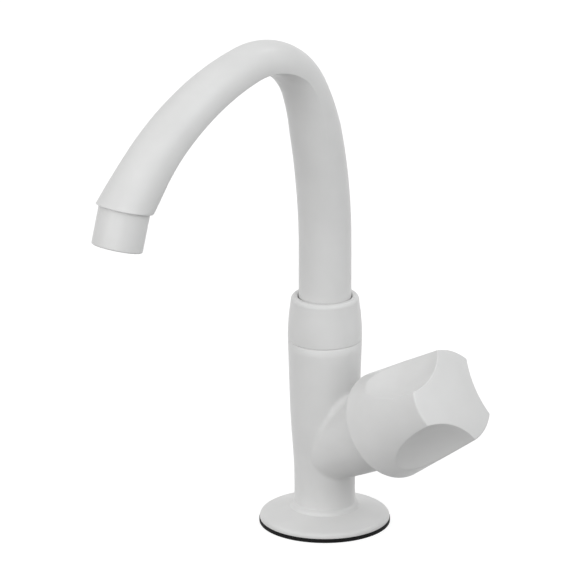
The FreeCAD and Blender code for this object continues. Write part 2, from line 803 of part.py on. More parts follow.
def tube_section(station, radius, flatness):
    """A closed wire across the centre line: a circle whose inner side fades into a flat."""
    reach, height, angle = station[:3]
    lean = math.radians(angle)
    inward = FreeCAD.Vector(0, -math.cos(lean), -math.sin(lean))
    sideways = FreeCAD.Vector(1, 0, 0)
    centre = FreeCAD.Vector(0, -reach, height)
    crease = size.flat_crease.value
    points = []
    for step in range(SECTION_POINTS):
        heading = 2 * math.pi * step / SECTION_POINTS
        towards = max(math.cos(heading), 0.0) * flatness
        distance = radius * (1 + towards ** crease) ** (-1 / crease)
        across = inward * (distance * math.cos(heading)) + sideways * (distance * math.sin(heading))
        points.append(centre + across)
    curve = Part.BSplineCurve()
    curve.interpolate(Points=points, PeriodicFlag=True)
    return Part.Wire([curve.toShape()])


def bore_section(station):
    """The same section an even wall further in, no wider than the waterway."""
    radius, flatness = station[3:]
    inside = radius - size.tube_wall.value
    inner_flatness = flatness * inside / (radius - flatness * size.tube_wall.value)
    return tube_section(station, min(inside, size.waterway_radius.value), inner_flatness)


path = spout_stations()
neck = doc.addObject("Part::Feature", "neck")
neck.Shape = Part.makeLoft([tube_section(at, at[3], at[4]) for at in path], True)
neck_way = doc.addObject("Part::Feature", "neck_way")
neck_way.Shape = Part.makeLoft([bore_section(at) for at in path], True)
foot_way = cylinder("foot_way", size.tube_foot_bore, neck_base - foot_base + 2 * size.beyond,
                    foot_base - size.beyond)

tip_reach, tip_height, tip_angle = path[-1][:3]
tip_place = FreeCAD.Vector(0, -tip_reach, tip_height)
tip_lean = math.radians(tip_angle)
tip_heading = FreeCAD.Vector(0, -math.sin(tip_lean), math.cos(tip_lean))


def at_tip(obj):
    """Stands an object, made about its own Z axis, on the outlet's axis, Z running out of the spout."""
    obj.Placement = FreeCAD.Placement(tip_place, FreeCAD.Rotation(FreeCAD.Vector(0, 0, 1), tip_heading))
    return obj


stub = at_tip(turned("stub", [
    (0, -size.overlap),
    (size.stub_radius, -size.overlap),
    (size.stub_radius, size.stub_length - size.stub_chamfer),
    (size.stub_radius - size.stub_chamfer, size.stub_length),
    (0, size.stub_length),
]))
tip_bore = at_tip(turned("tip_bore", [
    (0, -size.overlap),
    (size.stub_bore, -size.overlap),
    (size.stub_bore, size.stub_length + size.beyond),
    (0, size.stub_length + size.beyond),
]))
spout_solid = fuse("spout_solid", spout_foot, neck, stub)
spout_bores = fuse("spout_bores", neck_way, foot_way, tip_bore)
keep("spout", cut("spout_bored", spout_solid, spout_bores))

for name, base in (("spout_oring_lower", lower_groove), ("spout_oring_upper", upper_groove)):
    cord = (size.groove_depth + size.tube_gap) / 2 - size.oring_play
    ring = doc.addObject("Part::Torus", name + "_ring")
    bind(ring, Radius1=groove_floor + size.oring_play / 2 + cord, Radius2=cord,
         Placement_of_Base_of_z=base + size.groove_width / 2)
    keep(name, ring)

for name, base, width, outer in (
        ("spout_bearing_ring", bearing_base, size.bearing_length, size.tube_radius + size.tube_gap / 2),
        ("spout_retaining_ring", ring_base, size.ring_thickness, size.spigot_radius - size.ring_edge_play)):
    band = turned(name + "_band", [
        (ring_floor + size.band_play, base + size.band_play),
        (outer, base + size.band_play),
        (outer, base + width - size.band_play),
        (ring_floor + size.band_play, base + width - size.band_play),
    ])
    gap = doc.addObject("Part::Box", name + "_gap")
    bind(gap, Length=size.tube_radius * 2, Width=size.ring_split, Height=width + 2 * size.beyond,
         Placement_of_Base_of_y=-size.ring_split / 2, Placement_of_Base_of_z=base - size.beyond)
    keep(name, cut(name + "_split", band, gap))

# Nozzle: screwed over the spout's stub, with its seal, screen, flow disc and finned insert.
nozzle_thread = size.stub_radius + size.thread_gap
shoulder = size.stub_length + size.nozzle_seal_thickness
insert_end = size.nozzle_length - size.nozzle_lip_thickness
keep("nozzle", at_tip(turned("nozzle_turned", [
    (nozzle_thread, size.nozzle_joint_gap),
    (size.nozzle_radius, size.nozzle_joint_gap),
    (size.nozzle_radius, size.nozzle_length - size.nozzle_edge, size.nozzle_edge),
    (size.nozzle_radius - size.nozzle_edge, size.nozzle_length),
    (size.nozzle_lip_radius, size.nozzle_length),
    (size.nozzle_lip_radius, insert_end),
    (size.nozzle_bore_radius, insert_end),
    (size.nozzle_bore_radius, shoulder),
    (nozzle_thread, shoulder),
])))
keep("nozzle_seal", at_tip(turned("nozzle_seal_disc", [
    (size.nozzle_seal_bore, size.stub_length),
    (size.stub_radius, size.stub_length),
    (size.stub_radius, shoulder),
    (size.nozzle_seal_bore, shoulder),
])))
insert_radius = size.nozzle_bore_radius - size.insert_gap
insert_start = insert_end - size.insert_length
insert_shell = turned("insert_shell", [
    (insert_radius - size.insert_wall, insert_start),
    (insert_radius, insert_start),
    (insert_radius, insert_end),
    (insert_radius - size.insert_wall, insert_end),
])
insert_core = turned("insert_core", [
    (0, insert_start),
    (size.insert_core_radius / 2, insert_start),
    (size.insert_core_radius, insert_start + size.insert_core_radius),
    (size.insert_core_radius, insert_end),
    (0, insert_end),
])
fin = doc.addObject("Part::Box", "fin")
fin_foot = size.insert_core_radius - size.overlap
bind(fin, Length=insert_radius - size.insert_wall / 2 - fin_foot,
     Width=size.insert_fin_thickness, Height=size.insert_length - size.insert_fin_setback,
     Placement_of_Base_of_x=fin_foot, Placement_of_Base_of_y=-size.insert_fin_thickness / 2,
     Placement_of_Base_of_z=insert_start + size.insert_fin_setback)
doc.recompute()
fins = polar_copies("fins", fin, int(size.insert_fin_count.value))
keep("aerator_insert", at_tip(fuse("insert_moulding", insert_shell, insert_core, fins)))
disc_start = insert_start - size.flow_disc_thickness
flow_blank = turned("flow_blank", [
    (0, disc_start),
    (insert_radius, disc_start),
    (insert_radius, insert_start),
    (0, insert_start),
])
flow_hole = doc.addObject("Part::Cylinder", "flow_hole")
bind(flow_hole, Radius=size.flow_hole_radius, Height=size.flow_disc_thickness + 2 * size.beyond,
     Placement_of_Base_of_x=size.flow_hole_circle, Placement_of_Base_of_z=disc_start - size.beyond)
doc.recompute()
flow_holes = polar_copies("flow_holes", flow_hole, int(size.flow_hole_count.value))
keep("aerator_flow_disc", at_tip(cut("flow_disc", flow_blank, flow_holes)))
keep("aerator_screen", at_tip(turned("screen_disc", [
    (0, disc_start - size.screen_thickness),
    (insert_radius, disc_start - size.screen_thickness),
    (insert_radius, disc_start),
    (0, disc_start),
])))

doc.recompute()
failed = [obj.Name for obj in doc.Objects if "Invalid" in obj.State or "Error" in obj.State]
if failed:
    raise RuntimeError("objects that failed: " + ", ".join(failed))
for name, obj in nodes.items():
    if obj.Shape.isNull() or not obj.Shape.isValid():
        raise RuntimeError("bad shape: " + name)
for name, obj in nodes.items():
    obj.Shape.exportStep(os.path.join("parts", name + ".step"))
    print(f"{name}: {len(obj.Shape.Solids)} solid, {obj.Shape.Volume / 1000:.2f} cm3")
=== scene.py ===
import math
from functools import partial

import bmesh
import bpy
import numpy as np
from mathutils import Matrix, Vector


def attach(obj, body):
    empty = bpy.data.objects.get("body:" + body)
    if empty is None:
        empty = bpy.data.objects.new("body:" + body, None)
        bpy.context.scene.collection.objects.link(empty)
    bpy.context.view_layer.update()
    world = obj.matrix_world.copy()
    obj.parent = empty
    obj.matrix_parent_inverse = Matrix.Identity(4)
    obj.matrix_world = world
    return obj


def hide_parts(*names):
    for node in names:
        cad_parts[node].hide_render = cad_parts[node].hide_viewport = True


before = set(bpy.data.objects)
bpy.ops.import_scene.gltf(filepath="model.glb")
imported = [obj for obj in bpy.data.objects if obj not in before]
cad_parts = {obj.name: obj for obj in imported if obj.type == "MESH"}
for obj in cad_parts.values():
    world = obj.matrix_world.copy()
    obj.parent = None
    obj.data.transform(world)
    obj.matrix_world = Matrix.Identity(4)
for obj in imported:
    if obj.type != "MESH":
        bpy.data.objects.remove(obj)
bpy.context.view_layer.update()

scene = bpy.context.scene

# The white worktop the tap stands on, a hair below its gasket and with the hole for its shank, in
# soft daylight from the front, both sides and a little from behind. The camera looks down a little,
# halfway between the spout's side and the knob's side.
CAMERA_TARGET = Vector((-0.01032, -0.01032, 0.1025))
CAMERA_BACK = Vector((0.66778, -0.66778, 0.32887)).normalized()
CAMERA_DISTANCE = 3.702
CAMERA_LENS = 551
CAMERA_REACH = 20
LAMP_DISTANCE = 3.2
# Each lamp: its name, the direction it stands in, its width in metres, its watts and its colour.
LAMPS = (
    ("front", (0.67, -0.67, 0.9), 2, 11.2, (1, 1, 1)),
    ("left", (-0.1, -1, 0.3), 2, 16, (1, 1, 1)),
    ("low", (0.5, -0.87, 0.1), 2, 16, (1, 1, 1)),
    ("right", (1, 0.1, 0.9), 2, 17, (0.95, 0.98, 1)),
    ("back", (0.1, 0.7, 0.72), 0.5, 4, (1, 1, 1)))
SKY_LIGHT, SKY_SEEN = 0.655, 1
DECK_HEIGHT = -0.00005
DECK_RINGS = (0.0112, 0.05, 0.3, 4)
DECK_SEGMENTS = 96
DECK_DARK, DECK_LIGHT = (0.29, 0.29, 0.29), (0.31, 0.31, 0.31)
DECK_ROUGHNESS, DECK_GLOW = 0.9, 0.8


def link(name, data):
    """Puts new data into the scene as an object at the origin."""
    thing = bpy.data.objects.new(name, data)
    scene.collection.objects.link(thing)
    return thing


camera_data = bpy.data.cameras.new("camera")
camera_data.lens = CAMERA_LENS
camera_data.clip_end = CAMERA_REACH
camera = link("camera", camera_data)
camera.location = CAMERA_TARGET + CAMERA_BACK * CAMERA_DISTANCE
camera.rotation_euler = CAMERA_BACK.to_track_quat("Z", "Y").to_euler()
scene.camera = camera
scene.view_settings.view_transform = "Standard"

for name, towards, width, watts, colour in LAMPS:
    light = bpy.data.lights.new(name, "AREA")
    light.size = width
    light.energy = watts
    light.color = colour
    lamp = link(name, light)
    lamp.location = CAMERA_TARGET + Vector(towards).normalized() * LAMP_DISTANCE
    lamp.rotation_euler = Vector(towards).to_track_quat("Z", "Y").to_euler()


def feed(tree, node, sockets):
    """Sets or links a node's inputs, each given by its name or number."""
    for label, value in sockets.items():
        if isinstance(value, bpy.types.NodeSocket):
            tree.links.new(value, node.inputs[label])
        else:
            node.inputs[label].default_value = value


def add_node(tree, kind, sockets=None, **settings):
    """A new node, with its settings made and its inputs fed."""
    node = tree.nodes.new(kind)
    for setting, value in settings.items():
        setattr(node, setting, value)
    feed(tree, node, sockets or {})
    return node


def reckon(tree, operation, *values):
    """One step of arithmetic on numbers or sockets."""
    return add_node(tree, "ShaderNodeMath", dict(enumerate(values)), operation=operation).outputs[0]


world = bpy.data.worlds.new("daylight")
scene.world = world
world.use_nodes = True
sky = world.node_tree
sky.nodes.clear()
ray = add_node(sky, "ShaderNodeLightPath").outputs
seen = reckon(sky, "MAXIMUM", ray["Is Glossy Ray"], ray["Is Transmission Ray"])
seen = reckon(sky, "MAXIMUM", ray["Is Camera Ray"], seen)
strength = add_node(sky, "ShaderNodeMapRange", {"Value": seen, "To Min": SKY_LIGHT, "To Max": SKY_SEEN})
air = add_node(sky, "ShaderNodeBackground", {"Color": (1, 1, 1, 1), "Strength": strength.outputs[0]})
add_node(sky, "ShaderNodeOutputWorld", {"Surface": air.outputs[0]})


def new_material(name):
    """An empty material with its tree, its Principled shader and its object coordinates."""
    material = bpy.data.materials.new(name)
    material.use_nodes = True
    tree = material.node_tree
    place = add_node(tree, "ShaderNodeTexCoord").outputs["Object"]
    return material, tree, tree.nodes["Principled BSDF"], place


def grain(tree, place, size_mm, detail=2.0):
    """Noise with features of the size given, in millimetres."""
    sockets = {"Scale": 1000 / size_mm, "Detail": detail, "Vector": place}
    return add_node(tree, "ShaderNodeTexNoise", sockets).outputs["Fac"]


def spread(tree, noise, low, high):
    """Spreads a noise's middle range over low to high."""
    sockets = {"Value": noise, "From Min": 0.3, "From Max": 0.7, "To Min": low, "To Max": high}
    return add_node(tree, "ShaderNodeMapRange", sockets).outputs["Result"]


def tint(tree, noise, dark, light):
    """Mixes two colours by a noise."""
    sockets = {"A": (*dark, 1), "B": (*light, 1), "Factor": spread(tree, noise, 0, 1)}
    return add_node(tree, "ShaderNodeMix", sockets, data_type="RGBA").outputs["Result"]


def bump(tree, height, depth_mm, **under):
    """A bump whose full height is the depth given, laid over another, Normal, if there is one."""
    sockets = {"Strength": 1, "Distance": depth_mm / 1000, "Height": height, **under}
    return add_node(tree, "ShaderNodeBump", sockets).outputs["Normal"]


worktop, tree, shader, place = new_material("worktop")
ray = add_node(tree, "ShaderNodeLightPath").outputs
seen = reckon(tree, "MAXIMUM", ray["Is Camera Ray"], ray["Is Glossy Ray"])
feed(tree, shader, {
    "Base Color": tint(tree, grain(tree, place, size_mm=60), DECK_DARK, DECK_LIGHT),
    "Roughness": DECK_ROUGHNESS,
    "Emission Color": (1, 1, 1, 1),
    "Emission Strength": reckon(tree, "MULTIPLY", seen, DECK_GLOW)})

deck_points = []
for radius in DECK_RINGS:
    for step in range(DECK_SEGMENTS):
        turn = 2 * math.pi * step / DECK_SEGMENTS
        deck_points.append((radius * math.cos(turn), radius * math.sin(turn), DECK_HEIGHT))
deck_faces = []
for first in range(0, len(deck_points) - DECK_SEGMENTS, DECK_SEGMENTS):
    for step in range(DECK_SEGMENTS):
        start, after = first + step, first + (step + 1) % DECK_SEGMENTS
        deck_faces.append((start, start + DECK_SEGMENTS, after + DECK_SEGMENTS, after))
deck_mesh = bpy.data.meshes.new("deck")
deck_mesh.from_pydata(deck_points, [], deck_faces)
deck_mesh.materials.append(worktop)
deck = link("deck", deck_mesh)

# Body: one injection moulding in satin white plastic, with the round foot, the column, the inclined
# valve branch and, below the deck, the threaded shank with the inlet through it. The column's top
# and the branch's bore are threaded too, for the collar and the headwork.
MM = 0.001
FINE, COARSE = 128, 96
BODY_SPLIT, SPLIT_GAP = 15, 0.15
INLET_RADIUS, INLET_TOP, RISER_RADIUS, RISER_START = 6.5, 8, 5, 9.5
SHANK_RADIUS, SHANK_END, SHANK_CHAMFER = 10.478, -48, 1.2
HANDLE_HEIGHT, HANDLE_TILT = 29.7, 31
SEAM, COLUMN_TOP = 81.2, 92.1
SHANK_PITCH, SHANK_DEPTH, SCREW_PITCH = 1.814, 1.05, 1.5
# Each thread: the radius of its wall, its pitch and depth, and where it starts and ends.
SHANK_THREAD = (SHANK_RADIUS, SHANK_PITCH, SHANK_DEPTH, SHANK_END - 1, -1.2)
COLUMN_THREAD = (13, SCREW_PITCH, 0.8, SEAM + 1, COLUMN_TOP)
BRANCH_THREAD = (10.4, SCREW_PITCH, 0.6, 20, 34)
# How many rings each turn of a thread gets, how far off its radius a point of its wall may lie,
# and how far inside its root and outside its wall the points that move may lie.
RINGS_PER_PITCH, WALL_PLAY, ROOT_PLAY, CREST_PLAY = 10, 0.03, 0.1, 0.05
# How far from a groove's middle, in shares of the pitch, its crest starts and its root ends.
CREST_FROM, ROOT_TO = 0.44, 0.07
# Corners of the foot from the column down to its underside: across, up, arc, rounding.
FOOT_TOP_RADIUS, FOOT_RADIUS, FOOT_BOTTOM = 12.7, 27.25, 1.7
FOOT_CORNERS = (
    (FOOT_TOP_RADIUS, BODY_SPLIT - SPLIT_GAP), (12.85, 9, 0, 0.4), (14.1, 8.3, 0, 0.5),
    (14.6, 6.95, 0, 0.3), (26, 4, 0, 0.25), (26.85, 3.5, 0, 0.4), (FOOT_RADIUS, 2.7, 0, 0.4),
    (FOOT_RADIUS, FOOT_BOTTOM, 0, 0.15))
WHITE_DARK, WHITE_LIGHT = (0.705, 0.705, 0.7), (0.735, 0.735, 0.73)


def white_plastic(name):
    """Moulded plastic: even white, slightly uneven gloss, faint waves and a fine skin."""
    material, tree, shader, place = new_material(name)
    waves = bump(tree, grain(tree, place, size_mm=11, detail=1), depth_mm=0.02)
    feed(tree, shader, {
        "IOR": 1.49,
        "Base Color": tint(tree, grain(tree, place, size_mm=14), WHITE_DARK, WHITE_LIGHT),
        "Roughness": spread(tree, grain(tree, place, size_mm=5, detail=4), low=0.3, high=0.38),
        "Normal": bump(tree, grain(tree, place, size_mm=0.35), depth_mm=0.0015, Normal=waves)})
    return material


def solid(name, points, faces, material, sharp_degrees=32):
    """A closed piece with its faces outwards, smooth except at its real edges."""
    mesh = bpy.data.meshes.new(name)
    mesh.from_pydata([tuple(point) for point in points], [], faces)
    work = bmesh.new()
    work.from_mesh(mesh)
    bmesh.ops.remove_doubles(work, verts=work.verts, dist=1e-7)
    bmesh.ops.recalc_face_normals(work, faces=work.faces)
    work.to_mesh(mesh)
    work.free()
    mesh.shade_smooth()
    mesh.set_sharp_from_angle(angle=math.radians(sharp_degrees))
    mesh.materials.append(material)
    return link(name, mesh)


def bent(first, corner, last, share):
    """The point at a share of the curve that rounds a corner."""
    return first * (1 - share) ** 2 + corner * 2 * share * (1 - share) + last * share ** 2


def rounded(corners, arc_degrees=4, rounding_steps=4, side_share=0.45):
    """The outline through corners (across, up, arc, rounding). A corner's arc is the radius of the
    curve to the next corner, above zero where it bulges to the right. Its rounding softens it, and
    takes no more than a share of each side."""
    points = []
    for index, corner in enumerate(corners):
        across, up, arc, rounding = (*corner, 0, 0)[:4]
        start = Vector((across, up))
        end = Vector(corners[(index + 1) % len(corners)][:2])
        points.append((start, rounding))
        if not arc:
            continue
        chord = end - start
        left = Vector((-chord.y, chord.x)).normalized()
        half = chord.length / 2
        reach = math.sqrt(max(arc * arc - half * half, 0))
        centre = (start + end) / 2 + left * math.copysign(reach, arc)
        sweep = 2 * math.asin(min(half / abs(arc), 1)) * math.copysign(1, arc)
        steps = max(int(abs(math.degrees(sweep)) / arc_degrees), 3)
        for step in range(1, steps):
            spoke = Matrix.Rotation(sweep * step / steps, 2) @ (start - centre)
            points.append((centre + spoke, 0))
    softened = []
    for index, (corner, rounding) in enumerate(points):
        if not rounding:
            softened.append(corner)
            continue
        before = points[index - 1][0] - corner
        after = points[(index + 1) % len(points)][0] - corner
        back = corner + before.normalized() * min(rounding, before.length * side_share)
        ahead = corner + after.normalized() * min(rounding, after.length * side_share)
        for step in range(rounding_steps + 1):
            softened.append(bent(back, corner, ahead, step / rounding_steps))
    return softened


def turned(corners, frame_at, segments=COARSE, closed=True):
    """Points and faces of a body turned about its axis from an outline in millimetres."""
    points, faces, rings = [], [], []
    for across, up in rounded(corners):
        if across < 1e-6:
            rings.append([len(points)] * segments)
            points.append(frame_at @ Vector((0, 0, up * MM)))
            continue
        rings.append([len(points) + step for step in range(segments)])
        for step in range(segments):
            turn = 2 * math.pi * step / segments
            point = Vector((across * math.cos(turn), across * math.sin(turn), up))
            points.append(frame_at @ (point * MM))
    for index in range(len(rings) if closed else len(rings) - 1):
        ring, after = rings[index], rings[(index + 1) % len(rings)]
        for step in range(segments):
            ahead = (step + 1) % segments
            corners_of = [ring[step], ring[ahead], after[ahead], after[step]]
            kept = [item for place, item in enumerate(corners_of) if item not in corners_of[:place]]
            if len(kept) > 2:
                faces.append(tuple(kept))
    return points, faces


def reckon_vector(tree, operation, *values):
    """One step of arithmetic on vectors or sockets, some of whose results are numbers."""
    node = add_node(tree, "ShaderNodeVectorMath", dict(enumerate(values)), operation=operation)
    return node.outputs["Value" if operation in ("DOT_PRODUCT", "LENGTH") else "Vector"]


def scaled(tree, vector, scale):
    """A vector socket times a number socket."""
    sockets = {0: vector, "Scale": scale}
    return add_node(tree, "ShaderNodeVectorMath", sockets, operation="SCALE").outputs["Vector"]


def node_group(name, sizes):
    """A new Geometry Nodes tree with the named inputs, and its input and output nodes."""
    tree = bpy.data.node_groups.new(name, "GeometryNodeTree")
    tree.interface.new_socket("Geometry", in_out="INPUT", socket_type="NodeSocketGeometry")
    for label, kind in sizes.items():
        tree.interface.new_socket(label, in_out="INPUT", socket_type="NodeSocket" + kind)
    tree.interface.new_socket("Geometry", in_out="OUTPUT", socket_type="NodeSocketGeometry")
    return tree, add_node(tree, "NodeGroupInput").outputs, add_node(tree, "NodeGroupOutput")


def finish_tree(tree, geometry, given, output):
    """Ends a tree in real geometry with the material given."""
    real = add_node(tree, "GeometryNodeRealizeInstances", {"Geometry": geometry})
    dressed = add_node(tree, "GeometryNodeSetMaterial", {
        "Geometry": real.outputs["Geometry"], "Material": given["Material"]})
    feed(tree, output, {"Geometry": dressed.outputs["Geometry"]})


def grown(thing, tree, sharp_degrees=32, **sizes):
    """Runs a tree on a piece with its sizes and keeps the result as a plain mesh."""
    modifier = thing.modifiers.new(tree.name, "NODES")
    modifier.node_group = tree
    for socket in tree.interface.items_tree:
        label = socket.name.lower().replace(" ", "_")
        if socket.in_out == "INPUT" and label in sizes:
            modifier[socket.identifier] = sizes[label]
    evaluated = thing.evaluated_get(bpy.context.evaluated_depsgraph_get())
    mesh = bpy.data.meshes.new_from_object(evaluated)
    thing.modifiers.remove(modifier)
    mesh.name = thing.name
    thing.data = mesh
    mesh.shade_smooth()
    mesh.set_sharp_from_angle(angle=math.radians(sharp_degrees))


thread_tree, given, thread_out = node_group("cut_thread", {
    "Pitch": "Float", "Depth": "Float", "Start": "Float", "End": "Float",
    "Inner Reach": "Float", "Outer Reach": "Float",
    "Origin": "Vector", "Axis": "Vector", "Side": "Vector", "Material": "Material"})
sums, vectors = partial(reckon, thread_tree), partial(reckon_vector, thread_tree)
here = add_node(thread_tree, "GeometryNodeInputPosition").outputs["Position"]
offset = vectors("SUBTRACT", here, given["Origin"])
height = vectors("DOT_PRODUCT", offset, given["Axis"])
spoke = vectors("SUBTRACT", offset, scaled(thread_tree, given["Axis"], height))
span = vectors("LENGTH", spoke)
across = vectors("CROSS_PRODUCT", given["Axis"], given["Side"])
turned_by = sums("ARCTAN2", vectors("DOT_PRODUCT", spoke, across),
                 vectors("DOT_PRODUCT", spoke, given["Side"]))
turns = sums("DIVIDE", turned_by, 2 * math.pi)
phase = sums("FRACT", sums("SUBTRACT", sums("DIVIDE", height, given["Pitch"]), turns))
ridge = sums("ABSOLUTE", sums("SUBTRACT", phase, 0.5))
flank = add_node(thread_tree, "ShaderNodeMapRange", {
    "Value": ridge, "From Min": CREST_FROM, "From Max": ROOT_TO}).outputs["Result"]
fades = []
for near, sign in (("Start", 1), ("End", -1)):
    run = sums("MULTIPLY", sums("SUBTRACT", height, given[near]), sign)
    fade = add_node(thread_tree, "ShaderNodeMapRange", {"Value": run, "From Max": given["Pitch"]})
    fades.append(fade.outputs["Result"])
sink = sums("MULTIPLY", sums("MULTIPLY", *fades), flank)
sink = sums("MULTIPLY", sink, sums("MULTIPLY", given["Depth"], -1))
within = sums("MULTIPLY", sums("GREATER_THAN", span, given["Inner Reach"]),
              sums("LESS_THAN", span, given["Outer Reach"]))
carve = add_node(thread_tree, "GeometryNodeSetPosition", {
    "Geometry": given["Geometry"], "Selection": within,
    "Offset": scaled(thread_tree, vectors("NORMALIZE", spoke), sink)})
finish_tree(thread_tree, carve.outputs["Geometry"], given, thread_out)

upright = Matrix.Identity(4)
valve_lean = Matrix.Rotation(math.radians(90 - HANDLE_TILT), 4, "Y")
on_valve = Matrix.Translation((0, 0, HANDLE_HEIGHT * MM)) @ valve_lean
plastic = white_plastic("white_plastic")


def ring_heights(first, last, pitch):
    """Evenly spaced heights along a wall, close enough together for a thread."""
    count = math.ceil(abs(first - last) / pitch * RINGS_PER_PITCH)
    return [first + (last - first) * step / count for step in range(count + 1)]


def opened(node):
    """A carried-over solid's mesh, with its doubled points joined, open for changes."""
    work = bmesh.new()
    work.from_mesh(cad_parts[node].data)
    bmesh.ops.remove_doubles(work, verts=work.verts, dist=2e-6)
    return work


def cut_across(work, region, frame_at, height, **sides):
    """Cuts a region of a mesh by the plane at a height, in millimetres, along an axis."""
    on_plane = frame_at @ Vector((0, 0, height * MM))
    upwards = frame_at.to_3x3() @ Vector((0, 0, 1))
    cut = bmesh.ops.bisect_plane(
        work, geom=region, dist=1e-7, plane_co=on_plane, plane_no=upwards, **sides)
    return cut["geom"]


def cut_rings(work, frame_at, thread, margin=0):
    """Cuts the wall that takes a thread, and only that, into rings from a margin below its start."""
    radius, pitch, depth, start, end = thread
    to_axis = frame_at.inverted()
    region = {}
    for face in work.faces:
        if all(abs((to_axis @ vert.co).xy.length / MM - radius) < WALL_PLAY for vert in face.verts):
            region.update(dict.fromkeys((*face.verts, *face.edges, face)))
    region = list(region)
    for height in ring_heights(end, start - margin, pitch):
        region = cut_across(work, region, frame_at, height)


def screw(thing, frame_at, thread, material, sharp_degrees=28, inside=None):
    """Pushes the wall of a thread's radius in towards the axis along a helix. Points that lie
    nearer to the axis than the inside stay where they are."""
    radius, pitch, depth, start, end = thread
    if inside is None:
        inside = radius - depth - ROOT_PLAY
    axes = frame_at.to_3x3()
    grown(thing, thread_tree, sharp_degrees, pitch=pitch * MM, depth=depth * MM, start=start * MM,
          end=end * MM, inner_reach=inside * MM, outer_reach=(radius + CREST_PLAY) * MM,
          origin=frame_at.translation, axis=axes @ Vector((0, 0, 1)),
          side=axes @ Vector((1, 0, 0)), material=material)


work = opened("tap_body")
everything = work.verts[:] + work.edges[:] + work.faces[:]
cut_across(work, everything, upright, BODY_SPLIT, clear_inner=True)
cut_rings(work, upright, COLUMN_THREAD, margin=1)
cut_rings(work, on_valve, BRANCH_THREAD)
shank_rings = [(SHANK_RADIUS, height)
               for height in ring_heights(0, SHANK_END + SHANK_CHAMFER, SHANK_PITCH)]
foot_points, foot_faces = turned([
    *FOOT_CORNERS, (SHANK_RADIUS, FOOT_BOTTOM), *shank_rings, (SHANK_RADIUS - SHANK_CHAMFER, SHANK_END),
    (INLET_RADIUS, SHANK_END), (INLET_RADIUS, INLET_TOP), (RISER_RADIUS, RISER_START),
    (RISER_RADIUS, BODY_SPLIT - SPLIT_GAP)], upright, FINE, closed=False)
foot_verts = [work.verts.new(point) for point in foot_points]
for face in foot_faces:
    work.faces.new([foot_verts[index] for index in face])
middle = (INLET_RADIUS + FOOT_TOP_RADIUS) / 2 * MM
rims = [edge for edge in work.edges if edge.is_boundary]
for outside in (True, False):
    joined = [edge for edge in rims if (edge.verts[0].co.xy.length > middle) == outside]
    bmesh.ops.bridge_loops(work, edges=joined)
bmesh.ops.recalc_face_normals(work, faces=work.faces)
body_mesh = bpy.data.meshes.new("tap_moulding")
work.to_mesh(body_mesh)
work.free()
tap_moulding = link("tap_moulding", body_mesh)
screw(tap_moulding, upright, SHANK_THREAD, plastic, inside=INLET_RADIUS + 1)
screw(tap_moulding, upright, COLUMN_THREAD, plastic)
screw(tap_moulding, on_valve, BRANCH_THREAD, plastic)
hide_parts("tap_body")
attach(tap_moulding, "tap")

# Deck gasket: a flat ring die-cut from black rubber sheet. It lies round the shank, and the back
# nut's pull grips it between the foot and the worktop.
GASKET_RADIUS, SHANK_HOLE = 27.5, 10.598
RIM_EDGE, HOLE_EDGE = 0.3, 0.15


def rubber(name, dark, light):
    """Matt rubber: nearly even colour with a dusty, fine-grained skin."""
    material, tree, shader, place = new_material(name)
    feed(tree, shader, {
        "Base Color": tint(tree, grain(tree, place, size_mm=3, detail=5), dark, light),
        "Specular IOR Level": 0.15,
        "Roughness": spread(tree, grain(tree, place, size_mm=1.2), low=0.6, high=0.8),
        "Normal": bump(tree, grain(tree, place, size_mm=0.5), depth_mm=0.012)})
    return material


def flat_ring(radius, bottom, top):
    """Points and faces of a flat ring round the shank, with its edges a little softened."""
    return turned([
        (SHANK_HOLE, bottom, 0, HOLE_EDGE), (radius, bottom, 0, RIM_EDGE), (radius, top, 0, RIM_EDGE),
        (SHANK_HOLE, top, 0, HOLE_EDGE)], upright, FINE)


black_rubber = rubber("black_rubber", (0.003, 0.003, 0.0033), (0.006, 0.006, 0.0064))
gasket = solid("base_gasket", *flat_ring(GASKET_RADIUS, 0, FOOT_BOTTOM), black_rubber)
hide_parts("deck_gasket")
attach(gasket, "tap")

# Washer and back nut: a flat rubber washer and a flanged white plastic nut, screwed up the shank
# under the deck to hold the tap down.
WASHER_RADIUS, WASHER_TOP, WASHER_BOTTOM = 20, -20, -22
NUT_WIDTH, NUT_BOTTOM = 32, -31
FLANGE_RADIUS, FLANGE_FOOT, FLANGE_EDGE, FOOT_EDGE = 18.5, -25, 0.4, (0.2, 0.3)
# The chamfer at the hexagon's lower end: how far outside the flats it starts, its slope, the
# heights above the end that it is worked out at, and how much the last of them is trimmed.
CHAMFER_START, CHAMFER_SLOPE = 0.2, 1.1
CHAMFER_RISES, CHAMFER_TRIM = (5.9, 2.2, 1.6, 1.0, 0.5, 0.15, 0), 0.15
NUT_SEGMENTS, NUT_SHARP = 144, 32
NUT_THREAD = (SHANK_HOLE, SHANK_PITCH, SHANK_DEPTH, NUT_BOTTOM - 3, WASHER_BOTTOM + 3)

washer = solid("under_deck_washer", *flat_ring(WASHER_RADIUS, WASHER_BOTTOM, WASHER_TOP), black_rubber)
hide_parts("shank_washer")
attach(washer, "tap")


def ring_points(rings, frame_at):
    """Points of rings of (radius, height) in every direction about an axis, in their place."""
    count = len(rings[0][0])
    turn = np.arange(count) * 2 * np.pi / count
    levels = [np.stack((radius * np.cos(turn), radius * np.sin(turn), np.broadcast_to(height, count)), -1)
              for radius, height in rings]
    axes = np.array(frame_at.to_3x3())
    return np.concatenate(levels) * MM @ axes.T + np.array(frame_at.translation)


def shell_faces(ring_count, segments, gap=None):
    """Faces of a closed shell through rings, each joined to the next except after the gap."""
    faces = []
    for index in range(ring_count):
        if index == gap:
            continue
        first, second = index * segments, (index + 1) % ring_count * segments
        for step in range(segments):
            ahead = (step + 1) % segments
            faces.append((first + step, first + ahead, second + ahead, second + step))
    return faces


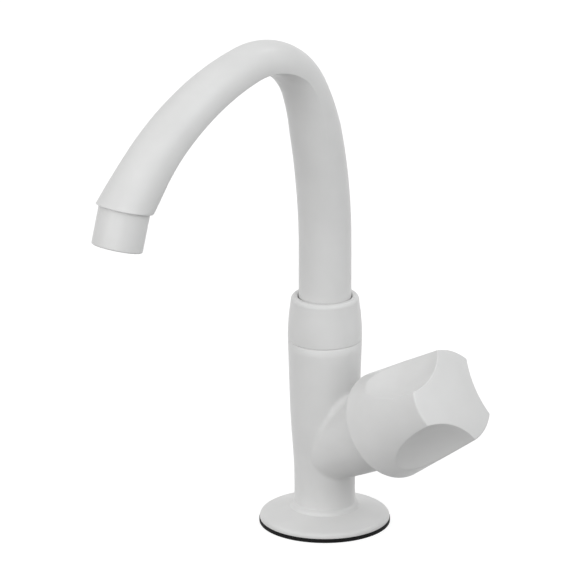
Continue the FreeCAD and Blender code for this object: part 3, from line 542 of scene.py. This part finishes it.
even = np.ones(NUT_SEGMENTS)
flat = np.arange(NUT_SEGMENTS) * 2 * np.pi / NUT_SEGMENTS % (np.pi / 3) - np.pi / 6
hexagon = NUT_WIDTH / 2 / np.cos(flat)
nut_rings = [(even * SHANK_HOLE, WASHER_BOTTOM), (even * (FLANGE_RADIUS - FLANGE_EDGE), WASHER_BOTTOM),
             (even * FLANGE_RADIUS, WASHER_BOTTOM - FLANGE_EDGE),
             (even * FLANGE_RADIUS, FLANGE_FOOT + FOOT_EDGE[1]),
             (even * (FLANGE_RADIUS - FOOT_EDGE[0]), FLANGE_FOOT)]
for rise in CHAMFER_RISES:
    chamfer = NUT_WIDTH / 2 + CHAMFER_START + rise * CHAMFER_SLOPE
    trim = CHAMFER_TRIM if rise == 0 else 0
    nut_rings.append((np.minimum(hexagon, chamfer) - trim, NUT_BOTTOM + rise))
bore_heights = ring_heights(NUT_BOTTOM, WASHER_BOTTOM, SHANK_PITCH)
nut_rings += [(even * SHANK_HOLE, height) for height in bore_heights[:-1]]
back_nut = solid("flanged_back_nut", ring_points(nut_rings, upright),
                 shell_faces(len(nut_rings), NUT_SEGMENTS), plastic)
screw(back_nut, upright, NUT_THREAD, plastic, NUT_SHARP)
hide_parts("back_nut")
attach(back_nut, "tap")

# Valve: a hexagonal headwork, its gland nut, the spindle, and the jumper with its nut, all turned
# from brass and screwed together on the inclined axis. Grey rubber seals it: a flat ring under the
# headwork, the packing round the spindle and the washer that the jumper presses on the seat.
LATHE_LINE = 0.2
# Each row: node, the body it rides, and its threads, each written as the body's threads are.
VALVE_THREADS = (
    ("headwork_body", "tap",
     ((10.3, SCREW_PITCH, 0.8, 20.6, 34.5), (6.9, 2, 0.55, 19, 33.4), (8, 1, 0.55, 41.6, 50.5))),
    ("gland_nut", "tap", ((8.12, 1, 0.45, 42.2, 49.8),)),
    ("spindle", "handle", ((6.8, 2, 1, 13, 27),)),
    ("jumper", "valve", ((1.5, 0.5, 0.25, 3.9, 6.8),)),
    ("washer_nut", "valve", ((1.62, 0.5, 0.2, 4, 6.7),)))


def turned_brass(name):
    """Turned brass: yellow metal with fine lathe lines across the valve's axis."""
    material, tree, shader, place = new_material(name)
    along = reckon_vector(tree, "DOT_PRODUCT", place, on_valve.to_3x3() @ Vector((0, 0, 1)))
    lines = add_node(tree, "ShaderNodeTexNoise", noise_dimensions="1D")
    feed(tree, lines, {"Scale": 1000 / LATHE_LINE, "W": along})
    patches = grain(tree, place, size_mm=4, detail=3)
    feed(tree, shader, {
        "Metallic": 1,
        "Base Color": tint(tree, patches, (0.74, 0.57, 0.28), (0.8, 0.64, 0.34)),
        "Roughness": spread(tree, grain(tree, place, size_mm=2), low=0.26, high=0.4),
        "Normal": bump(tree, lines.outputs["Fac"], depth_mm=0.012)})
    return material


def finish_nodes(material, *nodes):
    """Gives carried-over solids their own finish."""
    for node in nodes:
        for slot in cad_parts[node].material_slots:
            slot.material = material


brass = turned_brass("turned_brass")
grey_rubber = rubber("grey_rubber", (0.1, 0.1, 0.1), (0.14, 0.14, 0.14))
for node, body, threads in VALVE_THREADS:
    work = opened(node)
    for thread in threads:
        cut_rings(work, on_valve, thread)
    mesh = bpy.data.meshes.new(node)
    work.to_mesh(mesh)
    work.free()
    piece = link("brass_" + node, mesh)
    for thread in threads:
        screw(piece, on_valve, thread, brass)
    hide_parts(node)
    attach(piece, body)
finish_nodes(grey_rubber, "headwork_seal", "spindle_packing", "valve_washer")

# Collar: a barrel-shaped nut, moulded in the same white plastic and screwed over the column's top
# down to the seam. Its lip keeps the spout in, and its mouth guides the tube.
COLLAR_BORE, COLLAR_BORE_TOP, COLLAR_BORE_END = 13.12, 93, SEAM + 0.8
COLLAR_THREAD = (COLLAR_BORE, SCREW_PITCH, 0.6, SEAM + 1, COLUMN_TOP)
COLLAR_CORNERS = (
    (COLLAR_BORE, SEAM, 0, 0.1), (15.2, SEAM, 0, 0.1), (15.5, SEAM + 0.3, 0, 0.1), (15.55, 82, 105),
    (14.3, 98.3, 2.2), (13.2, 100.3, 0, 0.25), (11.8, 100.3, 0, 0.15), (11.3, 99.8, 0, 0.15),
    (11.3, 93.8, 0, 0.1), (COLLAR_BORE, 93.8, 0, 0.1))

bore_rings = [(COLLAR_BORE, height)
              for height in ring_heights(COLLAR_BORE_TOP, COLLAR_BORE_END, SCREW_PITCH)]
collar = solid("swivel_collar", *turned([*COLLAR_CORNERS, *bore_rings], upright, FINE), plastic)
screw(collar, upright, COLLAR_THREAD, plastic)
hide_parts("collar")
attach(collar, "tap")

# Spout: a swan neck of white plastic tube, round at its foot, flattened on the inside of its bend,
# and flared to a round, slanted end with a threaded stub for the nozzle. Grooves round its foot
# take the two split rings and the two O-rings.
SPOUT_SEGMENTS, FACE_POINTS = 96, 37
SPOUT_SHARP = 22
TUBE_RADIUS, TUBE_WALL, FOOT_BORE, WATERWAY_RADIUS, LEAST_BOW = 11, 2.4, 7.2, 8.4, 0.2
FOOT_START, FOOT_CHAMFER = 64, 0.8
# Each groove: where it starts and ends, and the radius of its floor.
FOOT_GROOVES = ((68, 70.4, 9.1), (76, 78.4, 9.1), (84, 89, 9.8), (COLUMN_TOP, 93.7, 9.8))
NECK_START, NECK_FLAT = 104, 123.7
# Each bend of the neck: the radius of its centre line, its turn in degrees and the tube's radius.
NECK_BENDS = ((215.3, 13.5, 11), (93.9, 11.7, 10.25), (32.4, 77.3, 9.25), (106.9, 34.2, 10.75))
TIP_RUN, TIP_RADIUS, OUTLET_ANGLE = 18, 12.05, 164.1
# Rings of the tip's softened edge: how far inside its radius and how far along the outlet they lie.
TIP_EDGE = ((0, -0.35), (0.08, -0.1), (0.35, 0))
RUN_STEPS, BEND_STEP = 12, 2.5
# Each row: distance along the neck, shift towards the inside of the bend, width added to the radius,
# where the crease lies in degrees from the inside, and how much of the radius the inner face reaches.
NECK_SHAPE = np.array((
    (19.7, 0, 0, 44, 1), (46.3, 0.15, 0.11, 53, 0.96), (70.4, 0.3, 0.12, 69, 0.89),
    (89.6, 0.37, 0.17, 81, 0.77), (100.9, 0.35, 0.25, 84, 0.66), (115, 0.55, 0.4, 80, 0.46),
    (133.3, 0.55, 0.5, 75, 0.46), (167.7, 0.4, 0.4, 74, 0.54), (197.1, 0.25, 0.5, 76, 0.8),
    (215.1, 0, 0, 78, 1)))
STUB_RADIUS, STUB_END, STUB_CHAMFER, STUB_PITCH = 9.4, 6, 0.4, 1
STUB_THREAD = (STUB_RADIUS, STUB_PITCH, 0.5, 0.4, STUB_END)
OUTLET_BORE, OUTLET_BORE_START = 7.4, -0.5


def neck_stations():
    """Centre line of the neck: (reach, height, angle from up, radius) every few degrees."""
    line = []
    for step in range(RUN_STEPS + 1):
        height = NECK_START + (NECK_FLAT - NECK_START) * step / RUN_STEPS
        line.append((0.0, height, 0.0, float(TUBE_RADIUS)))
    for bend, turn, radius in NECK_BENDS:
        reach, height, start, start_radius = line[-1]
        steps = math.ceil(max(turn / BEND_STEP, bend * math.radians(turn) / BEND_STEP))
        for step in range(1, steps + 1):
            share = step / steps
            angle = start + turn * share
            first, last = math.radians(start), math.radians(angle)
            line.append((reach + bend * (math.cos(first) - math.cos(last)),
                         height + bend * (math.sin(last) - math.sin(first)), angle,
                         start_radius + (radius - start_radius) * share))
    reach, height, start, start_radius = line[-1]
    heading = math.radians(start)
    for step in range(1, RUN_STEPS + 1):
        share = step / RUN_STEPS
        line.append((reach + TIP_RUN * share * math.sin(heading),
                     height + TIP_RUN * share * math.cos(heading),
                     start + (OUTLET_ANGLE - start) * share,
                     start_radius + (TIP_RADIUS - start_radius) * share))
    return line


def neck_ring(reach, height, angle, radius, crease, face_reach, shift=0.0, along=0.0):
    """One ring of points: round outside, a shallower bow inside, and a crease where the two meet."""
    lean, crease = math.radians(angle), math.radians(crease)
    inward = np.array((0, -math.cos(lean), -math.sin(lean)))
    ahead = np.array((0, -math.sin(lean), math.cos(lean)))
    centre = np.array((0, -reach, height)) + inward * shift + ahead * along
    face = np.linspace(-crease, crease, FACE_POINTS)
    back = np.linspace(crease, 2 * np.pi - crease, SPOUT_SEGMENTS - FACE_POINTS + 2)[1:-1]
    rise = face_reach - radius * math.cos(crease)
    bow = ((radius * math.sin(crease)) ** 2 + rise ** 2) / (2 * rise)
    middle = face_reach - bow
    face_distance = middle * np.cos(face) + np.sqrt(bow ** 2 - (middle * np.sin(face)) ** 2)
    distance = np.concatenate((face_distance, np.full(len(back), float(radius))))
    turn = np.concatenate((face, back))
    ring = centre + np.outer(distance * np.cos(turn), inward) + np.outer(distance * np.sin(turn), (1, 0, 0))
    return ring * MM


foot = [(TUBE_RADIUS - FOOT_CHAMFER, FOOT_START), (TUBE_RADIUS, FOOT_START + FOOT_CHAMFER)]
for bottom, top, floor in FOOT_GROOVES:
    foot += [(TUBE_RADIUS, bottom), (floor, bottom), (floor, top), (TUBE_RADIUS, top)]
foot_crease, tip_crease = NECK_SHAPE[0, 3], NECK_SHAPE[-1, 3]
rings = [neck_ring(0, height, 0, radius, foot_crease, radius) for radius, height in foot]
neck = neck_stations()
run = np.array([(reach, height) for reach, height, angle, radius in neck])
lengths = np.concatenate(((0,), np.cumsum(np.hypot(*np.diff(run, axis=0).T))))
shape_at, *shape_forms = NECK_SHAPE.T
waterway = []
for length, (reach, height, angle, radius) in list(zip(lengths, neck))[:-1]:
    shift, wider, crease, share = (np.interp(length, shape_at, form) for form in shape_forms)
    radius += wider
    rings.append(neck_ring(reach, height, angle, radius, crease, radius * share, shift))
    bore = min(radius - TUBE_WALL, WATERWAY_RADIUS)
    bore_crease = bore * math.cos(math.radians(crease))
    bore_face = max(min(radius * share - TUBE_WALL, bore), bore_crease + LEAST_BOW)
    waterway.append(neck_ring(reach, height, angle, bore, crease, bore_face, shift))
reach, height, angle, radius = neck[-1]
outlet = [(TIP_RADIUS - inset, along) for inset, along in TIP_EDGE]
outlet += [(STUB_RADIUS, along) for along in ring_heights(0, STUB_END - STUB_CHAMFER, STUB_PITCH)]
outlet += [(STUB_RADIUS - STUB_CHAMFER, STUB_END), (OUTLET_BORE, STUB_END), (OUTLET_BORE, OUTLET_BORE_START)]
rings += [neck_ring(reach, height, angle, radius, tip_crease, radius, 0, along) for radius, along in outlet]
rings += reversed(waterway)
rings += [neck_ring(0, level, 0, FOOT_BORE, foot_crease, FOOT_BORE) for level in (NECK_START, FOOT_START)]
spout = solid("swan_neck", np.concatenate(rings), shell_faces(len(rings), SPOUT_SEGMENTS), plastic,
              SPOUT_SHARP)
outlet_lean = Matrix.Rotation(math.radians(angle), 4, "X")
at_outlet = Matrix.Translation(Vector((0, -reach, height)) * MM) @ outlet_lean
screw(spout, at_outlet, STUB_THREAD, plastic, SPOUT_SHARP)
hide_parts("spout")
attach(spout, "swivel")

# Spout rings: a bearing band and a retaining ring of natural acetal, both split so that they snap
# into their grooves on the tube, and two rubber O-rings that seal it in the column.


def acetal_plastic(name):
    """Unpainted acetal: creamy, matt and a little cloudy."""
    material, tree, shader, place = new_material(name)
    clouds = grain(tree, place, size_mm=2.5, detail=3)
    feed(tree, shader, {
        "IOR": 1.48,
        "Base Color": tint(tree, clouds, (0.76, 0.75, 0.69), (0.82, 0.81, 0.76)),
        "Roughness": spread(tree, grain(tree, place, size_mm=1), low=0.42, high=0.56),
        "Normal": bump(tree, grain(tree, place, size_mm=0.3), depth_mm=0.004)})
    return material


acetal = acetal_plastic("natural_acetal")
finish_nodes(acetal, "spout_bearing_ring", "spout_retaining_ring")
finish_nodes(grey_rubber, "spout_oring_lower", "spout_oring_upper")

# Nozzle: a white plastic sleeve screwed over the spout's stub. Its inner lip holds the aerator up
# against a flat rubber seal under the stub's end.
NOZZLE_BORE, NOZZLE_BORE_END, NOZZLE_BORE_START = 9.52, 6.4, 0.3
NOZZLE_THREAD = (NOZZLE_BORE, STUB_PITCH, 0.4, 0.2, 6.2)
NOZZLE_CORNERS = (
    (NOZZLE_BORE, 0.05), (10.7, 0.05, 0, 0.3), (10.7, 15.6, 0.8), (9.9, 16.4), (7.6, 16.4, 0, 0.3),
    (7.6, 15), (8.4, 15), (8.4, 7.2), (NOZZLE_BORE, 7.2))

bore_rings = [(NOZZLE_BORE, height)
              for height in ring_heights(NOZZLE_BORE_END, NOZZLE_BORE_START, STUB_PITCH)]
nozzle = solid("outlet_nozzle", *turned([*NOZZLE_CORNERS, *bore_rings], at_outlet, COARSE), plastic)
screw(nozzle, at_outlet, NOZZLE_THREAD, plastic)
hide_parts("nozzle")
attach(nozzle, "swivel")
finish_nodes(grey_rubber, "nozzle_seal")

# Aerator insert and flow disc: moulded in natural acetal and dropped into the nozzle, where its lip
# holds them. The insert is a ring and a cone joined by thin fins that straighten the water.
INSERT_SEGMENTS, CONE_SEGMENTS = 72, 36
INSERT_START, INSERT_END = 10, 15
INSERT_RADIUS, INSERT_WALL, CONE_RADIUS = 8.3, 0.8, 2.4
FIN_COUNT, FIN_THICKNESS, FIN_SETBACK, FIN_ROOT, FIN_DROP = 12, 0.7, 2, 0.4, 0.05


def carried_on(tree, geometry, given):
    """Carries what a tree made to its place on the tap and joins it to the piece that is there."""
    carried = add_node(tree, "GeometryNodeTransform", {
        "Geometry": geometry, "Translation": given["Place"], "Rotation": given["Turn"]})
    together = add_node(tree, "GeometryNodeJoinGeometry", {"Geometry": carried.outputs["Geometry"]})
    feed(tree, together, {"Geometry": given["Geometry"]})
    return together.outputs["Geometry"]


def both_of(first, second):
    """Points and faces of two closed shells as one piece."""
    points, faces = list(first[0]), list(first[1])
    faces += [tuple(index + len(points) for index in face) for face in second[1]]
    return points + list(second[0]), faces


fin_tree, given, fin_out = node_group("ring_of_fins", {
    "Count": "Int", "Inner": "Float", "Outer": "Float", "Thickness": "Float", "Bottom": "Float",
    "Top": "Float", "Place": "Vector", "Turn": "Vector", "Material": "Material"})
sums = partial(reckon, fin_tree)
fin_size = add_node(fin_tree, "ShaderNodeCombineXYZ", {
    "X": sums("SUBTRACT", given["Outer"], given["Inner"]), "Y": given["Thickness"],
    "Z": sums("SUBTRACT", given["Top"], given["Bottom"])})
fin = add_node(fin_tree, "GeometryNodeMeshCube", {"Size": fin_size.outputs[0]})
fin_middle = add_node(fin_tree, "ShaderNodeCombineXYZ")
for axis, low, high in (("X", "Inner", "Outer"), ("Z", "Bottom", "Top")):
    feed(fin_tree, fin_middle, {axis: sums("MULTIPLY", sums("ADD", given[low], given[high]), 0.5)})
fin_placed = add_node(fin_tree, "GeometryNodeTransform", {
    "Geometry": fin.outputs["Mesh"], "Translation": fin_middle.outputs[0]})
spots = add_node(fin_tree, "GeometryNodePoints", {"Count": given["Count"]})
number = add_node(fin_tree, "GeometryNodeInputIndex").outputs["Index"]
turn_each = sums("DIVIDE", 2 * math.pi, given["Count"])
fin_turn = add_node(fin_tree, "ShaderNodeCombineXYZ", {"Z": sums("MULTIPLY", number, turn_each)})
copies = add_node(fin_tree, "GeometryNodeInstanceOnPoints", {
    "Points": spots.outputs["Points"], "Instance": fin_placed.outputs["Geometry"],
    "Rotation": fin_turn.outputs[0]})
with_fins = carried_on(fin_tree, copies.outputs["Instances"], given)
finish_tree(fin_tree, with_fins, given, fin_out)

insert_ring = turned([
    (INSERT_RADIUS - INSERT_WALL, INSERT_START, 0, 0.15), (INSERT_RADIUS, INSERT_START, 0, 0.15),
    (INSERT_RADIUS, INSERT_END, 0, 0.2), (INSERT_RADIUS - INSERT_WALL, INSERT_END, 0, 0.2)],
    at_outlet, INSERT_SEGMENTS)
insert_cone = turned([
    (0, INSERT_START), (CONE_RADIUS / 2, INSERT_START, 0, 0.3),
    (CONE_RADIUS, INSERT_START + CONE_RADIUS, 0, 0.5), (CONE_RADIUS, INSERT_END, 0, 0.25),
    (0, INSERT_END)], at_outlet, CONE_SEGMENTS)
insert = solid("aerator_fins", *both_of(insert_ring, insert_cone), acetal)
grown(insert, fin_tree, count=FIN_COUNT, inner=(CONE_RADIUS - FIN_ROOT) * MM,
      outer=(INSERT_RADIUS - INSERT_WALL / 2) * MM, thickness=FIN_THICKNESS * MM,
      bottom=(INSERT_START + FIN_SETBACK) * MM, top=(INSERT_END - FIN_DROP) * MM,
      place=at_outlet.translation, turn=at_outlet.to_euler(), material=acetal)
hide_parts("aerator_insert")
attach(insert, "swivel")
finish_nodes(acetal, "aerator_flow_disc")

# Aerator screen: a disc of plain-woven stainless wire, its edge held in a thin pressed rim. It
# lies in the nozzle between the seal and the flow disc.
SCREEN_MIDDLE, SCREEN_HALF = 7.95, 0.24
SCREEN_RADIUS, SCREEN_RIM, RIM_GRIP = 8.3, 0.45, 0.2
WIRE, WIRE_PITCH, WIRE_SIDES = 0.2, 0.6, 6
POINTS_PER_PITCH, SCREEN_SHARP = 4, 60


def drawn_steel(name):
    """Drawn stainless wire: cool grey metal, fine scratches."""
    material, tree, shader, place = new_material(name)
    feed(tree, shader, {
        "Metallic": 1,
        "Base Color": tint(tree, grain(tree, place, size_mm=1.5), (0.56, 0.56, 0.56), (0.66, 0.66, 0.65)),
        "Roughness": spread(tree, grain(tree, place, size_mm=0.6), low=0.28, high=0.42),
        "Normal": bump(tree, grain(tree, place, size_mm=0.1), depth_mm=0.004)})
    return material


steel = drawn_steel("drawn_steel")
weave_tree, given, weave_out = node_group("woven_screen", {
    "Radius": "Float", "Pitch": "Float", "Wire": "Float", "Wires": "Int", "Points": "Int",
    "Place": "Vector", "Turn": "Vector", "Material": "Material"})
sums = partial(reckon, weave_tree)
span = sums("MULTIPLY", given["Pitch"], sums("SUBTRACT", given["Wires"], 1))
sheet = add_node(weave_tree, "GeometryNodeMeshGrid", {
    "Size X": span, "Size Y": span, "Vertices X": given["Points"], "Vertices Y": given["Wires"]})
ends = add_node(weave_tree, "GeometryNodeInputMeshEdgeVertices").outputs
along = reckon_vector(weave_tree, "SUBTRACT", ends["Position 1"], ends["Position 2"])
run = add_node(weave_tree, "ShaderNodeSeparateXYZ", {0: along}).outputs
crosswise = sums("GREATER_THAN", sums("ABSOLUTE", run["Y"]), sums("ABSOLUTE", run["X"]))
lines = add_node(weave_tree, "GeometryNodeDeleteGeometry", {
    "Geometry": sheet.outputs["Mesh"], "Selection": crosswise}, domain="EDGE", mode="EDGE_FACE")
wires = add_node(weave_tree, "GeometryNodeMeshToCurve", {"Mesh": lines.outputs["Geometry"]})
here = add_node(weave_tree, "GeometryNodeInputPosition").outputs["Position"]
spot = add_node(weave_tree, "ShaderNodeSeparateXYZ", {0: here}).outputs
steps_on = sums("DIVIDE", sums("ADD", spot["X"], spot["Y"]), given["Pitch"])
wave = sums("COSINE", sums("MULTIPLY", steps_on, math.pi))
wire_radius = sums("MULTIPLY", given["Wire"], 0.5)
lift = add_node(weave_tree, "ShaderNodeCombineXYZ", {"Z": sums("MULTIPLY", wave, wire_radius)})
waved = add_node(weave_tree, "GeometryNodeSetPosition", {
    "Geometry": wires.outputs["Curve"], "Offset": lift.outputs[0]})
squares = [sums("POWER", side, 2) for side in (spot["X"], spot["Y"], given["Radius"])]
outside = sums("GREATER_THAN", sums("ADD", *squares[:2]), squares[2])
trimmed = add_node(weave_tree, "GeometryNodeDeleteGeometry", {
    "Geometry": waved.outputs["Geometry"], "Selection": outside})
round_wire = add_node(weave_tree, "GeometryNodeCurvePrimitiveCircle", {
    "Resolution": WIRE_SIDES, "Radius": wire_radius})
drawn = add_node(weave_tree, "GeometryNodeCurveToMesh", {
    "Curve": trimmed.outputs["Geometry"], "Profile Curve": round_wire.outputs["Curve"],
    "Fill Caps": True})
other_way = add_node(weave_tree, "GeometryNodeTransform", {
    "Geometry": drawn.outputs["Mesh"], "Rotation": (math.pi, 0, math.pi / 2)})
both_ways = add_node(weave_tree, "GeometryNodeJoinGeometry", {"Geometry": drawn.outputs["Mesh"]})
feed(weave_tree, both_ways, {"Geometry": other_way.outputs["Geometry"]})
in_rim = carried_on(weave_tree, both_ways.outputs["Geometry"], given)
finish_tree(weave_tree, in_rim, given, weave_out)

screen_corners = [(radius, SCREEN_MIDDLE + side, 0, 0.1) for radius, side in (
    (SCREEN_RADIUS - SCREEN_RIM, -SCREEN_HALF), (SCREEN_RADIUS, -SCREEN_HALF),
    (SCREEN_RADIUS, SCREEN_HALF), (SCREEN_RADIUS - SCREEN_RIM, SCREEN_HALF))]
screen = solid("woven_screen", *turned(screen_corners, at_outlet, INSERT_SEGMENTS), steel)
wire_count = 2 * int(SCREEN_RADIUS / WIRE_PITCH) + 1
grown(screen, weave_tree, SCREEN_SHARP, radius=(SCREEN_RADIUS - SCREEN_RIM + RIM_GRIP) * MM,
      pitch=WIRE_PITCH * MM, wire=WIRE * MM, wires=wire_count,
      points=(wire_count - 1) * POINTS_PER_PITCH + 1,
      place=at_outlet @ (Vector((0, 0, SCREEN_MIDDLE)) * MM), turn=at_outlet.to_euler(), material=steel)
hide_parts("aerator_screen")
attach(screen, "swivel")

# Knob: a hollow three-lobed cap of white plastic, pressed on the spindle's splines. Three scallops
# start deep at its domed face and run out before the rear rim.
KNOB_REAR, KNOB_FRONT, KNOB_WALL, DOME_HEIGHT = 43.7, 86.15, 2.2, 1.95
KNOB_REAR_RADIUS, KNOB_FRONT_RADIUS = 23.1, 20.35
LOBES = 3
# A scallop: how near to the axis it comes, the two radii of the round ring that cuts it, and, in
# degrees, the first one's direction and how far to each side of its middle a floor is looked for.
SCALLOP_DEEPEST, SCALLOP_RING, SCALLOP_SECTION, SCALLOP_TURN, SCALLOP_REACH = 13.1, 33.6, 27.6, 92, 75
LOBE_EDGE, SCALLOP_EDGE, REAR_EDGE, EDGE_CHANGE = 0.65, 0.5, 0.9, 2.5
LOBE_SOFTNESS = 0.35
KNOB_SEGMENTS = 432
REAR_RINGS, SIDE_RINGS, EDGE_RINGS, FACE_RINGS, CEILING_RINGS, INSIDE_RINGS = 4, 80, 8, 24, 8, 32
HUB_RADIUS, HUB_BORE, HUB_END, HUB_BORE_TOP, HUB_SEGMENTS = 6.6, 4.05, 55, 67.5, 48
WEB_THICKNESS, WEB_END, WEB_REACH, WEB_TURN, WEB_ROOT = 1.8, 62, 20.15, 32, 0.5
HUB_LAP, WEB_LAP = 0.5, 0.4
KNOB_SHARP = 40
TRIAL_START, TRIAL_END, TRIAL_STEP, NO_FLOOR = 8, 26, 0.05, 99.0
SETTLING_ROUNDS = 6


def scallop_radius(turn, along, growth):
    """How far out the nearest scallop's floor lies, in each direction and at each depth."""
    best = np.full(np.broadcast(turn, along).shape, NO_FLOOR)
    trial = np.arange(TRIAL_START, TRIAL_END, TRIAL_STEP)
    section = SCALLOP_SECTION + growth
    middle = SCALLOP_DEEPEST + SCALLOP_RING + SCALLOP_SECTION
    for index in range(LOBES):
        off = (turn - math.radians(SCALLOP_TURN + 360 / LOBES * index) + np.pi) % (2 * np.pi) - np.pi
        facing = np.abs(off) < math.radians(SCALLOP_REACH)
        sideways = np.abs(np.sin(off))[..., None] * trial
        spare = np.maximum(section ** 2 - sideways ** 2, 0)
        level = (SCALLOP_RING + np.sqrt(spare)) ** 2 - (along - KNOB_FRONT)[..., None] ** 2
        beyond = np.cos(off)[..., None] * trial - middle + np.sqrt(np.maximum(level, 0))
        cleared = (beyond >= 0) & (sideways < section) & facing[..., None]
        place = np.maximum(np.argmax(cleared, -1), 1)[..., None]
        here = np.take_along_axis(beyond, place, -1)[..., 0]
        before = np.take_along_axis(beyond, place - 1, -1)[..., 0]
        found = trial[place[..., 0]] - TRIAL_STEP * here / np.maximum(here - before, 1e-6)
        best = np.minimum(best, np.where(cleared.any(-1), found, NO_FLOOR))
    return best


def cone_radius(along, inset):
    """Radius of the plain cone that the lobes lie on, less an inset."""
    share = (along - KNOB_REAR) / (KNOB_FRONT - KNOB_REAR)
    return KNOB_REAR_RADIUS + (KNOB_FRONT_RADIUS - KNOB_REAR_RADIUS) * share - inset


def side_radius(turn, along, inset=0):
    """Radius of the side, with the corner between a lobe and a scallop rounded."""
    cone, scallop = cone_radius(along, inset), scallop_radius(turn, along, inset)
    near = np.maximum(LOBE_SOFTNESS - np.abs(cone - scallop), 0) / LOBE_SOFTNESS
    return np.minimum(cone, scallop) - near ** 2 * LOBE_SOFTNESS / 4


def dome(radius):
    """Height of the domed face along the handle's axis at a radius."""
    return KNOB_FRONT + DOME_HEIGHT * (1 - (radius / KNOB_FRONT_RADIUS) ** 2)


turn = np.arange(KNOB_SEGMENTS) * 2 * np.pi / KNOB_SEGMENTS
top = np.full(KNOB_SEGMENTS, float(KNOB_FRONT))
for settle in range(SETTLING_ROUNDS):
    top = dome(side_radius(turn, top))
top_radius = side_radius(turn, top)
carved = np.clip((cone_radius(top, 0) - top_radius) / EDGE_CHANGE, 0, 1)
edge = LOBE_EDGE + (SCALLOP_EDGE - LOBE_EDGE) * carved
knob_rings = []
wide = side_radius(turn, np.full(KNOB_SEGMENTS, KNOB_REAR + REAR_EDGE))
for step in range(REAR_RINGS + 1):
    lift = math.radians(90 * step / REAR_RINGS)
    along = np.full(KNOB_SEGMENTS, KNOB_REAR + REAR_EDGE * (1 - math.cos(lift)))
    knob_rings.append((wide - REAR_EDGE * (1 - math.sin(lift)), along))
for step in range(1, SIDE_RINGS + 1):
    along = KNOB_REAR + REAR_EDGE + (top - edge - KNOB_REAR - REAR_EDGE) * (step / SIDE_RINGS)
    knob_rings.append((side_radius(turn, along), along))
side_end = (side_radius(turn, top - edge), top - edge)
face_start = (top_radius - edge, dome(top_radius - edge))
for step in range(1, EDGE_RINGS):
    knob_rings.append(tuple(bent(*corner, step / EDGE_RINGS)
                            for corner in zip(side_end, (top_radius, top), face_start)))
for step in range(FACE_RINGS):
    radius = face_start[0] * (1 - step / FACE_RINGS)
    knob_rings.append((radius, dome(radius)))
face_middle = len(knob_rings)
knob_rings.append((np.zeros(KNOB_SEGMENTS), np.full(KNOB_SEGMENTS, dome(0.0))))
ceiling = np.full(KNOB_SEGMENTS, KNOB_FRONT - KNOB_WALL)
for step in range(CEILING_RINGS + 1):
    knob_rings.append((side_radius(turn, ceiling, KNOB_WALL) * step / CEILING_RINGS, ceiling))
for step in range(1, INSIDE_RINGS + 1):
    along = ceiling + (KNOB_REAR - ceiling) * step / INSIDE_RINGS
    knob_rings.append((side_radius(turn, along, KNOB_WALL), along))
cap = (ring_points(knob_rings, on_valve), shell_faces(len(knob_rings), KNOB_SEGMENTS, face_middle))

hub_top = KNOB_FRONT - KNOB_WALL + HUB_LAP
hub = turned([
    (HUB_BORE, HUB_END, 0, 0.3), (HUB_RADIUS, HUB_END, 0, 0.3), (HUB_RADIUS, hub_top), (0, hub_top),
    (0, HUB_BORE_TOP), (HUB_BORE, HUB_BORE_TOP)], on_valve, HUB_SEGMENTS)
knob = solid("three_lobed_knob", *both_of(cap, hub), plastic, KNOB_SHARP)
web_turn = on_valve @ Matrix.Rotation(math.radians(WEB_TURN), 4, "Z")
grown(knob, fin_tree, KNOB_SHARP, count=LOBES, inner=(HUB_RADIUS - WEB_ROOT) * MM,
      outer=WEB_REACH * MM, thickness=WEB_THICKNESS * MM, bottom=WEB_END * MM,
      top=(KNOB_FRONT - KNOB_WALL + WEB_LAP) * MM, place=on_valve.translation,
      turn=web_turn.to_euler(), material=plastic)
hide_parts("knob")
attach(knob, "handle")
